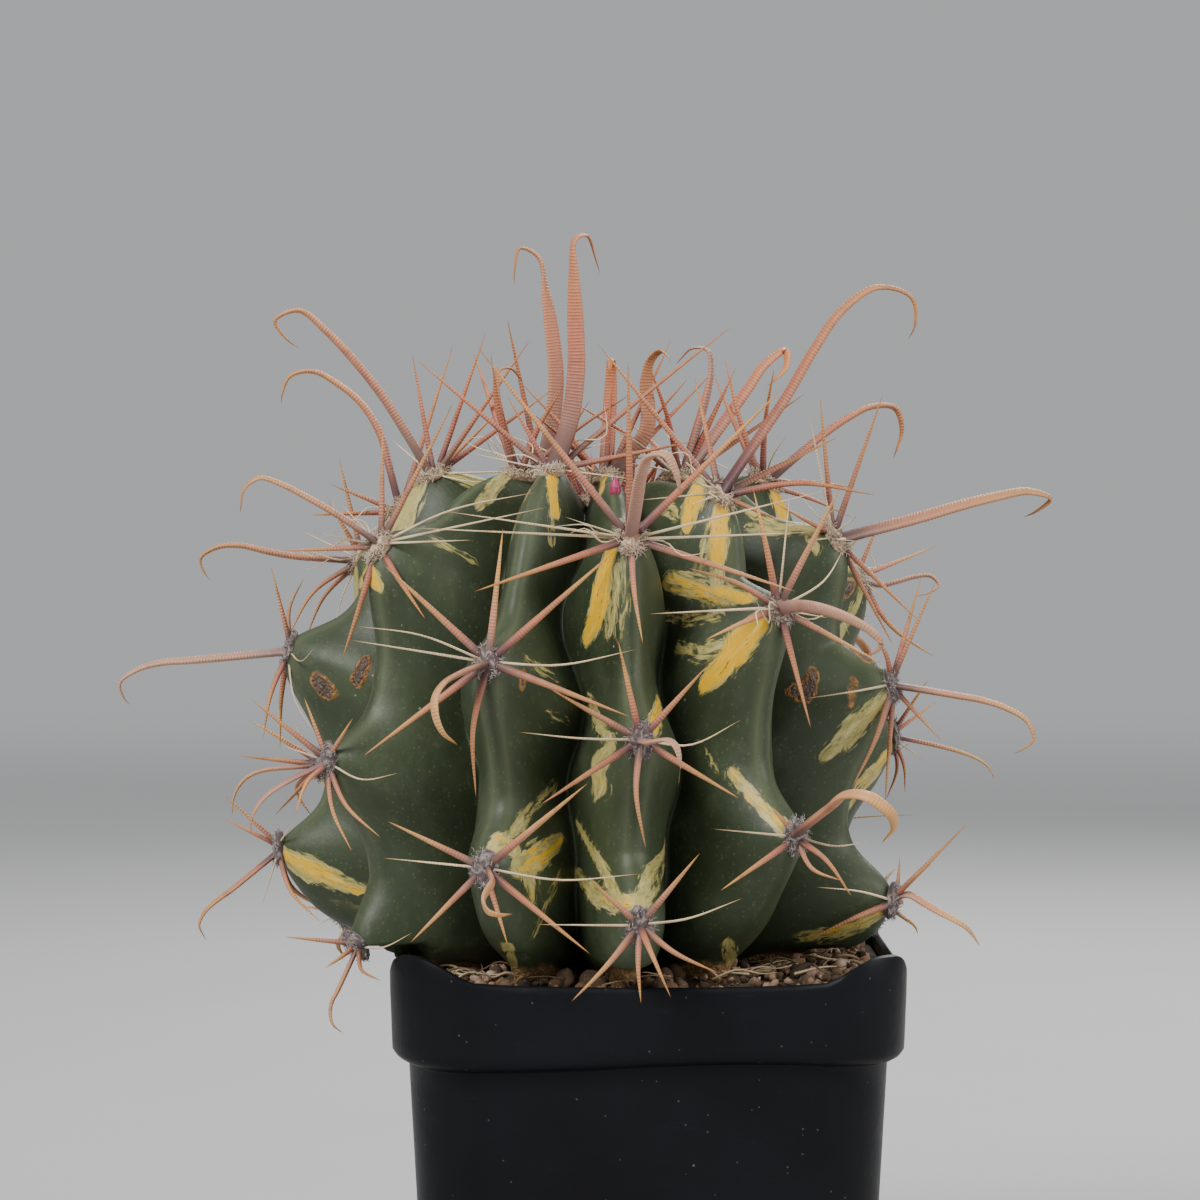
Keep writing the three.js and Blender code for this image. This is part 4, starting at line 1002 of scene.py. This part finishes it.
def lay_stroke(points, line, halves):
    """How deep inside a painted stroke each point lies, 1 on its line, and how far along and across it"""
    depth = np.full(len(points), -9.0)
    along, across = np.zeros(len(points)), np.zeros(len(points))
    run = 0.0
    for start, stop, first, second in zip(line, line[1:], halves, halves[1:]):
        leg = stop - start
        length = max(np.linalg.norm(leg), 1e-6)
        share = np.clip((points - start) @ leg / length ** 2, 0, 1)
        offset = points - start - share[:, None] * leg
        distance = np.linalg.norm(offset, axis=1)
        sideways = np.cross(leg, start - BODY_CENTRE)
        value = 1 - (distance / (STROKE_SOFTNESS * (first + (second - first) * share))) ** 2
        nearer = value > depth
        depth = np.where(nearer, value, depth)
        along = np.where(nearer, run + share * length, along)
        across = np.where(nearer, distance * np.sign(offset @ sideways), across)
        run += length
    return depth, along, across


class Paint:
    """Marks laid on the skin: pale, yellow and scarred fields, and the lie of the strokes"""

    def __init__(self, points, rib, flow):
        self.points, self.rib, self.flow = points, rib, flow
        self.x, self.y, self.away = to_pixels(points)
        self.fields = {name: np.zeros(len(points)) for name in ("pale", "yellow", "scar")}
        self.best = np.full(len(points), -0.8)
        self.count = 0

    def find(self, own, px, py):
        """The skin that shows at a pixel of the photograph"""
        miss = np.hypot(self.x[own] - px, self.y[own] - py)
        nearness = self.away[own] - self.away[own].min()
        return self.points[own[np.argmin(np.maximum(miss, 3) * 3 + nearness * 0.5)]]

    def lay(self, field, index, line, halves, yellow, strength):
        own = np.flatnonzero(self.rib == index)
        fine = min(1.0, max(halves) / FINEST_STROKE + 0.15)
        halves = [max(half, FINEST_STROKE) for half in halves]
        depth, along, across = lay_stroke(self.points[own], np.array(line), halves)
        self.count += 1
        value = np.clip(depth * strength * (0.62 + 0.38 * fine), 0, 1)
        self.fields[field][own] = np.maximum(self.fields[field][own], value)
        if yellow:
            core = np.clip(value * 1.5 - 0.45, 0, 1) * (0.2 + 0.8 * yellow)
            self.fields["yellow"][own] = np.maximum(self.fields["yellow"][own], core)
        nearest = depth > self.best[own]
        lie = np.stack([along * 0.24, across * 1.2, 0 * along + self.count * 7.3], axis=-1)
        self.flow[own[nearest]] = lie[nearest]
        self.best[own[nearest]] = depth[nearest]

    def lay_seen(self, field, marks):
        for name, stops, yellow, strength in marks:
            index = RIBS.index(name)
            own = np.flatnonzero(self.rib == index)
            line = [self.find(own, px, py) for px, py, _ in stops]
            self.lay(field, index, line, [stop[2] for stop in stops], yellow, strength)

    def lay_wild(self, seen):
        """Streaks of the same kind round the areoles that the photograph doesn't show"""
        for index, name in enumerate(RIBS):
            for order, station in enumerate(STATIONS[name]):
                if name in seen and order > 0:
                    continue
                for _ in range(chance.choice([2, 3, 4, 4])):
                    side = chance.choice([-1, 1])
                    lean = chance.choice([-1, -1, 1]) * chance.uniform(0.03, 0.1)
                    u = np.array([0.04, 0.13, 0.22]) * side * chance.uniform(0.6, 1.3)
                    t = np.clip(station + lean * np.array([0.15, 0.6, 1.1]), 0.12, 0.96)
                    line = skin_points(np.full(3, index), u, t)
                    wide = chance.choice([0.5, 0.9, 1.6, 2.8])
                    yellow = chance.choice([0, 0, 0.2, 0.6, 1.0])
                    halves = [wide * 0.6, wide, wide * 0.4]
                    self.lay("pale", index, line, halves, yellow, chance.uniform(0.7, 1.05))

    def lay_scabs(self, ribs):
        for name in ribs:
            index = RIBS.index(name)
            for _ in range(2):
                u, t = chance.uniform(-0.3, 0.3), chance.uniform(0.3, 0.75)
                stops = np.array([u, u + 0.04]), np.array([t, t + chance.uniform(0, 0.03)])
                line = skin_points(np.full(2, index), *stops)
                wide = chance.uniform(0.7, 2.2)
                self.lay("scar", index, line, [wide, wide], 0, 1.0)


def make_body(material):
    columns = RIB_COLUMNS * len(RIBS)
    rib = np.tile(np.repeat(np.arange(len(RIBS)), RIB_COLUMNS), SKIN_ROWS)
    u = np.tile(np.tile(np.arange(RIB_COLUMNS) / RIB_COLUMNS - 0.5, len(RIBS)), SKIN_ROWS)
    t = np.repeat(np.linspace(0, 1, SKIN_ROWS), columns)
    points = skin_points(rib, u, t)

    azimuth = np.arctan2(points[:, 0] - PLANT_X, -points[:, 1])
    run = np.stack([np.cos(azimuth) * 3, np.sin(azimuth) * 3, t * 4.2], axis=-1)
    paint = Paint(points, rib, run.copy())
    paint.lay_wild("ABCD")
    paint.lay_seen("pale", MARKS)
    paint.lay_scabs("GHIJKFE")
    paint.lay_seen("scar", SCARS)
    pale, yellow, scar = (paint.fields[name] for name in ("pale", "yellow", "scar"))
    across = np.abs(u) * MEAN_RIB_ANGLE * np.pi / 180 * MEAN_RIB_RADIUS
    # Painted highlight: a pale band along each shoulder of a rib's crest
    ridge_highlight = np.exp(-((across - 1.8) / 1.0) ** 2) * smoothstep(0.2, 0.35, t)
    # Painted shade: how far into the groove between two ribs a point lies, for darkening it
    depth = smoothstep(0.28, 0.48, np.abs(u))
    foot = 0.95 * (1 - smoothstep(97, 106, points[:, 2])) * (1 - smoothstep(0.2, 0.4, np.abs(u)))
    points += unit(points - BODY_CENTRE) * (smoothstep(0.3, 0.75, scar) * 0.45)[:, None]

    foot_end = np.array([PLANT_X, 0, CREST[0][1]])
    crown_end = np.array([PLANT_X, 0, GROOVE[-1][1] - 0.5])
    growth = Growth()
    marks, form = (np.stack([np.append(v, [0, 0]) for v in (*three, 0 * t + 1)], axis=-1)
                   for three in ((pale, yellow, scar), (ridge_highlight, depth, foot)))
    growth.join(np.vstack([points, foot_end, crown_end]), tube_faces(SKIN_ROWS, columns), 0,
                marks=marks, form=form, flow=np.vstack([run, run[0], run[-1]]),
                stroke=np.vstack([paint.flow, run[0], run[-1]]))
    body = growth.make("ribbed_body", [material])
    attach(body, "root")
    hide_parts("cactus_body")


def make_crown(horn, felt):
    """Wool and short red spines at the growing point"""
    growth = Growth()
    middle = {"t": 1.0, "out": np.array([0, 0, 1.0]), "side": np.array([1.0, 0, 0]),
              "along": np.array([0, 1.0, 0]), "place": CROWN_TOP, "young": 1.0}
    for _ in range(CROWN_SPINES):
        clock, reach = chance.uniform(0, 2 * math.pi), chance.uniform(2, 13)
        out = level(clock)
        root = CROWN_TOP + out * reach + [0, 0, 1 + reach * 0.12]
        heading = unit(out * chance.uniform(0.1, 0.9) + [0, 0, 1])
        size = chance.uniform(6, 15)
        bend = unit(np.cross(heading, wild()))
        knots = [root, root + heading * size * 0.5 + bend * 0.5, root + heading * size]
        path = at_share(smooth_path(knots, 8), np.linspace(0, 1, 14))
        thick = 0.75 * (1 - np.linspace(0, 1, 14) ** 1.4) + 0.03
        grow_tube(growth, path, bend, thick, thick * 0.7, 6, 0, 1, chance.uniform(0.5, 1), 0)
    for turn in range(CROWN_CUSHIONS):
        place = CROWN_TOP + level(turn * 2 * math.pi / CROWN_CUSHIONS) * 7 + [0, 0, 0.8]
        spot = dict(middle, place=place)
        grow_felt(growth, spot)
        grow_wool(growth, spot, 70, 3.2)
    grow_felt(growth, middle)
    grow_wool(growth, middle, 90, 3.2)
    crown = growth.make("crown_wool", [horn, felt])
    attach(crown, "root")


def make_bud(material):
    """A closed bud of overlapping scales behind the front crown areole"""
    growth = Growth()
    for layer, (count, size, lean) in enumerate([(1, 5.2, 0.0), (5, 4.5, 0.3), (6, 3.2, 0.5)]):
        for i in range(count):
            out = level(2 * math.pi * (i + layer * 0.4) / count)
            knots = [BUD_FOOT + out * 0.2, BUD_FOOT + out * (0.9 if lean else 0) + [0, 0, size * 0.5],
                     BUD_FOOT + out * lean * 1.5 + [0, 0, size]]
            share = np.linspace(0, 1, 12)
            path = at_share(smooth_path(knots, 8), share)
            wide = 0.88 * np.sin(np.pi * (0.12 + 0.86 * share)) + 0.03
            rings = tube(path, np.array([-out[1], out[0], 0.0]), wide, wide * (0.3 if lean else 1), 8)[:-1]
            points = closed(rings, path)
            tint = np.concatenate([np.repeat(share[:-1], 8), [0, 1]])
            growth.join(points, tube_faces(len(rings), 8), 0, tint=tint)
    bud = growth.make("flower_bud", [material])
    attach(bud, "root")


# Pot and grit

def select_only(piece):
    bpy.ops.object.select_all(action="DESELECT")
    piece.select_set(True)
    bpy.context.view_layer.objects.active = piece


def dress(piece, material, sharpest):
    """Shades a piece smooth except over sharper edges, and gives it its one material"""
    select_only(piece)
    bpy.ops.object.shade_smooth_by_angle(angle=math.radians(sharpest))
    piece.data.materials.clear()
    piece.data.materials.append(material)


def rounded_block(name, rings, corner_steps, side_cuts):
    """A square with rounded corners, drawn up through rings of half side and height"""
    half, height = rings[0]
    bpy.ops.object.select_all(action="DESELECT")
    bpy.ops.mesh.primitive_plane_add(size=2 * half * MM, location=(0, 0, height * MM))
    block = bpy.context.object
    block.name = name
    block.data.name = name
    bpy.ops.object.transform_apply(location=True)
    bpy.ops.object.mode_set(mode="EDIT")
    bpy.ops.mesh.bevel(offset=CORNER_RADIUS * MM, segments=corner_steps, affect="VERTICES")
    bpy.ops.mesh.select_all(action="DESELECT")
    bpy.ops.mesh.select_mode(type="EDGE")
    drawing = bmesh.from_edit_mesh(block.data)
    for line in drawing.edges:
        line.select_set(line.calc_length() > half * MM)
    bmesh.update_edit_mesh(block.data)
    bpy.ops.mesh.subdivide(number_cuts=side_cuts)
    bpy.ops.mesh.select_mode(type="FACE")
    bpy.ops.mesh.select_all(action="SELECT")
    for (half, height), (next_half, next_height) in zip(rings, rings[1:]):
        rise = (next_height - height) * MM
        bpy.ops.mesh.extrude_region_move(TRANSFORM_OT_translate={"value": (0, 0, rise)})
        share = next_half / half
        bpy.ops.transform.resize(value=(share, share, 1), center_override=(0, 0, next_height * MM))
    bpy.ops.mesh.select_all(action="SELECT")
    bpy.ops.mesh.normals_make_consistent(inside=False)
    bpy.ops.object.mode_set(mode="OBJECT")
    return block


def sag_rim(block):
    """Corners of the rim stand proud, the front edge sags, and the soft walls bow a little"""
    for vertex in block.data.vertices:
        x, y, z = (value / MM for value in vertex.co)
        corner = float(smoothstep(0.64, 0.88, min(abs(x), abs(y)) / RIM_HALF))
        upper = float(smoothstep(BAND_BOTTOM + 2, POT_HEIGHT, z))
        front = float(smoothstep(30, 50, -y)) * (1 - corner)
        lift = upper * (CORNER_RISE * corner - RIM_SAG * front * math.cos(x / RIM_HALF * 1.3))
        band = float(smoothstep(BAND_BOTTOM - 6, BAND_BOTTOM, z)) * (1 - upper)
        lift += band * (0.9 * math.sin(x * 0.055 + 0.4) - 0.3) * float(smoothstep(40, 50, -y))
        bow = 0.5 * math.sin(z * 0.05 + x * 0.04) * math.sin(math.pi * min(z, POT_HEIGHT) / POT_HEIGHT)
        flare = upper * corner * 0.9
        vertex.co.z = (z + lift) * MM
        vertex.co.x = (x + math.copysign(flare, x)) * MM
        vertex.co.y = (y + math.copysign(flare, y) + (bow if abs(y) > 40 and corner < 0.1 else 0)) * MM


def make_pot(material):
    inner = RIM_HALF - WALL
    rings = [(BASE_HALF - 1, 0), (BASE_HALF - 0.3, 0.3), (BASE_HALF, 1), (BASE_HALF + 1.2, 25),
             (BASE_HALF + 2.4, 50), (NECK_HALF - 0.3, 74), (NECK_HALF, BAND_BOTTOM - 1.2),
             (NECK_HALF + 0.5, BAND_BOTTOM - 0.4), (NECK_HALF + 1.6, BAND_BOTTOM - 0.1),
             (NECK_HALF + 2.7, BAND_BOTTOM + 0.7), (NECK_HALF + 3.5, BAND_BOTTOM + 2),
             (RIM_HALF - 0.2, BAND_BOTTOM + 4), (RIM_HALF - 0.1, 90), (RIM_HALF, 95), (RIM_HALF, 98.6),
             (RIM_HALF - 0.25, 99.6), (RIM_HALF - 0.8, POT_HEIGHT), (RIM_HALF - 1.35, 99.6),
             (inner, 98.6), (inner - 0.1, 92), (inner - BAND_SETBACK, BAND_BOTTOM + 4.6),
             (NECK_HALF - WALL, BAND_BOTTOM), (BASE_HALF - WALL + 2, 50), (BASE_HALF - WALL, POT_FLOOR)]
    pot = rounded_block("nursery_pot", rings, 12, 9)
    sag_rim(pot)
    for x in (-DRAIN_OFFSET, DRAIN_OFFSET):
        for y in (-DRAIN_OFFSET, DRAIN_OFFSET):
            cut_drain(pot, x, y)
    dress(pot, material, 42)
    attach(pot, "root")
    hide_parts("pot")


def cut_drain(pot, x, y):
    bpy.ops.object.select_all(action="DESELECT")
    bpy.ops.mesh.primitive_cylinder_add(vertices=32, radius=DRAIN_RADIUS * MM, depth=POT_FLOOR * 3 * MM,
                                        location=(x * MM, y * MM, POT_FLOOR / 2 * MM))
    drill = bpy.context.object
    select_only(pot)
    bpy.ops.object.modifier_add(type="BOOLEAN")
    cut = pot.modifiers[-1]
    cut.object = drill
    cut.operation = "DIFFERENCE"
    bpy.ops.object.modifier_apply(modifier=cut.name)
    bpy.data.objects.remove(drill)


def grit_height(x, y):
    """The grit heaps up to the right of the plant and lies lower along the rim"""
    slow = 0.8 * np.sin(x * 0.31 + 1.7) * np.cos(y * 0.27) + 0.5 * np.sin(x * 0.53 + y * 0.61)
    heap = (5.2 * np.exp(-((x - 40) / 13) ** 2 - ((y - 12) / 24) ** 2)
            + 1.4 * np.exp(-((x - 36) / 15) ** 2 - ((y + 30) / 14) ** 2))
    edge_drop = smoothstep(45, 53, np.maximum(np.abs(x), np.abs(y)))
    return SOIL_TOP + slow + heap * (1 - edge_drop) - 0.6 * edge_drop


def make_grit(stone, straw):
    widest = RIM_HALF - WALL - BAND_SETBACK - GRIT_GAP
    rings = [(BASE_HALF - WALL - GRIT_GAP, POT_FLOOR + GRIT_GAP),
             (NECK_HALF - WALL - GRIT_GAP, BAND_BOTTOM + GRIT_GAP),
             (widest, BAND_BOTTOM + 5), (widest, SOIL_TOP - 1)]
    rings += [(half, SOIL_TOP) for half in (50, 47, 44, 41, 38, 35, 32, 29, 26, 23)]
    bed = rounded_block("grit_bed", rings, 8, 23)
    for vertex in bed.data.vertices:
        if vertex.co.z > (SOIL_TOP - 0.5) * MM:
            x, y = vertex.co.x / MM, vertex.co.y / MM
            rough = 0.35 * math.sin(x * 2.3) * math.cos(y * 2.1)
            vertex.co.z = (float(grit_height(x, y)) - GRIT_SINK + rough) * MM
    dress(bed, stone, 60)
    write_attribute(bed.data, "tint", np.full(len(bed.data.vertices), 0.16))
    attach(bed, "root")
    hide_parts("soil")
    make_stones(stone)
    make_straws(straw)


def pebble_shapes():
    """A few lumpy stones to copy, by how finely they are made"""
    shapes = {2: [], 1: []}
    for fineness, count in ((2, 5), (1, 3)):
        for _ in range(count):
            bpy.ops.object.select_all(action="DESELECT")
            bpy.ops.mesh.primitive_ico_sphere_add(subdivisions=fineness, radius=1)
            ball = bpy.context.object
            points = np.array([vertex.co[:] for vertex in ball.data.vertices])
            faces = [tuple(face.vertices) for face in ball.data.polygons]
            bpy.data.objects.remove(ball)
            for heading in unit(np.array([wild() for _ in range(5)])):
                cut = chance.uniform(0.62, 0.86)
                over = np.maximum(points @ heading - cut, 0)
                points = points - over[:, None] * heading
            shapes[fineness].append((points, faces))
    return shapes


def random_turn():
    w, x, y, z = unit(np.array([chance.gauss(0, 1) for _ in range(4)]))
    return np.array([[1 - 2 * (y * y + z * z), 2 * (x * y - z * w), 2 * (x * z + y * w)],
                     [2 * (x * y + z * w), 1 - 2 * (x * x + z * z), 2 * (y * z - x * w)],
                     [2 * (x * z - y * w), 2 * (y * z + x * w), 1 - 2 * (x * x + y * y)]])


def foot_radius(x, y):
    """How far the plant's foot reaches towards a place on the grit"""
    azimuth = np.degrees(np.arctan2(x - PLANT_X, -y)) % 360
    miss = np.abs((AZIMUTHS - azimuth + 180) % 360 - 180).min()
    return GROOVE_FOOT + RIB_FOOT * math.exp(-(miss / 5) ** 2)


def past_corner(x, y):
    """How far a place lies out into the pot's rounded corner"""
    return np.hypot(np.maximum(np.abs(x) - INNER_CORNER, 0), np.maximum(np.abs(y) - INNER_CORNER, 0))


def make_stones(material):
    growth = Growth()
    shapes = pebble_shapes()
    for size, spread, count, fineness in STONES:
        for _ in range(count):
            x, y = (chance.uniform(-GRIT_REACH, GRIT_REACH) for _ in range(2))
            radius = max(0.4, chance.gauss(size, spread))
            inside = past_corner(x, y) + radius < CORNER_ROOM and max(abs(x), abs(y)) + radius < GRIT_ROOM
            if not inside or math.hypot(x - PLANT_X, y) < foot_radius(x, y) + radius * 0.6:
                continue
            points, faces = chance.choice(shapes[fineness])
            stretch = np.array([1, chance.uniform(0.65, 1), chance.uniform(0.5, 0.85)]) * radius
            place = np.array([x, y, float(grit_height(x, y)) - 0.5 + radius * chance.uniform(0.0, 0.55)])
            turned = (points * stretch) @ random_turn().T + place
            growth.join(turned, faces, 0, tint=np.full(len(points), chance.betavariate(1.6, 1.8)))
    stones = growth.make("grit_stones", [material])
    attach(stones, "root")


def make_straws(material):
    growth = Growth()
    made = 0
    while made < STRAWS:
        x, y = chance.uniform(-50, 50), chance.uniform(-50, 50)
        turn = chance.uniform(0, 2 * math.pi)
        size = chance.uniform(5, 17)
        heading = level(turn)[:2]
        shares = np.array([-0.5, -0.15, 0.2, 0.5])
        bend = chance.uniform(-0.15, 0.15)
        bowed = np.outer(shares ** 2, [-heading[1], heading[0]]) * size * bend * 4
        flat = np.array([x, y]) + shares[:, None] * size * heading + bowed
        reach = np.hypot(flat[:, 0] - PLANT_X, flat[:, 1])
        if np.abs(flat).max() > 51 or (reach < [foot_radius(*p) + 1 for p in flat]).any():
            continue
        if past_corner(flat[:, 0], flat[:, 1]).max() > 12:
            continue
        lift = chance.uniform(0.9, 2.0)
        heights = grit_height(flat[:, 0], flat[:, 1]) + lift
        knots = np.column_stack([flat, heights + [0, 0.5, 0.4, chance.uniform(0, 1.5)]])
        path = at_share(smooth_path(knots, 8), np.linspace(0, 1, 10))
        thick = chance.uniform(0.16, 0.42) * (1 - 0.8 * np.linspace(0, 1, 10) ** 2)
        rings = tube(path, np.array([0, 0, 1.0]), thick, thick * 0.7, 5)[:-1]
        points = closed(rings, path)
        growth.join(points, tube_faces(len(rings), 5), 0, tint=np.full(len(points), chance.random()))
        made += 1
    straws = growth.make("dry_straws", [material])
    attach(straws, "root")


# Studio

def make_floor():
    """A wide pale floor that fades out far from the pot"""
    bpy.ops.object.select_all(action="DESELECT")
    bpy.ops.mesh.primitive_plane_add(size=8, location=(0, 0, 0))
    floor = bpy.context.object
    floor.name = "studio_floor"
    material, tree, surface = new_material("pale_floor")
    tone = noise(tree, here(tree), 3, 2)
    colour = ramp(tree, tone, [(0.3, (0.43, 0.43, 0.425)), (0.7, (0.46, 0.46, 0.455))])
    finish_surface(tree, surface, colour, 0.8, tone, 0.1)
    reach = add(tree, "ShaderNodeVectorMath", {0: here(tree)}, operation="LENGTH").outputs["Value"]
    away = add(tree, "ShaderNodeBsdfTransparent")
    mixed = add(tree, "ShaderNodeMixShader", {0: edge(tree, reach, 0.5, 3.4), 1: surface.outputs[0],
                                              2: away.outputs[0]})
    tree.links.new(mixed.outputs[0], tree.nodes["Material Output"].inputs["Surface"])
    floor.data.materials.append(material)


def make_light():
    world = bpy.data.worlds.new("studio")
    bpy.context.scene.world = world
    world.use_nodes = True
    sky = world.node_tree.nodes["Background"].inputs
    sky[0].default_value = (0.72, 0.73, 0.745, 1)
    sky[1].default_value = 0.6
    for name, place, size, power in LAMPS:
        lamp = bpy.data.lights.new(name, "AREA")
        lamp.size = size
        lamp.energy = power
        light = bpy.data.objects.new(name, lamp)
        bpy.context.scene.collection.objects.link(light)
        light.location = place
        aim = np.array([PLANT_X * MM, 0, 0.15]) - np.array(place)
        tilt, turn = math.atan2(math.hypot(aim[0], aim[1]), -aim[2]), math.atan2(aim[0], -aim[1])
        light.rotation_euler = (tilt, 0, turn + math.pi)


make_camera()
make_floor()
make_light()
horn, felt = horn_material(), felt_material()
make_body(skin_material())
make_tufts(horn, felt)
make_crown(horn, felt)
make_bud(bud_material())
make_pot(pot_material())
make_grit(stone_material(), straw_material())
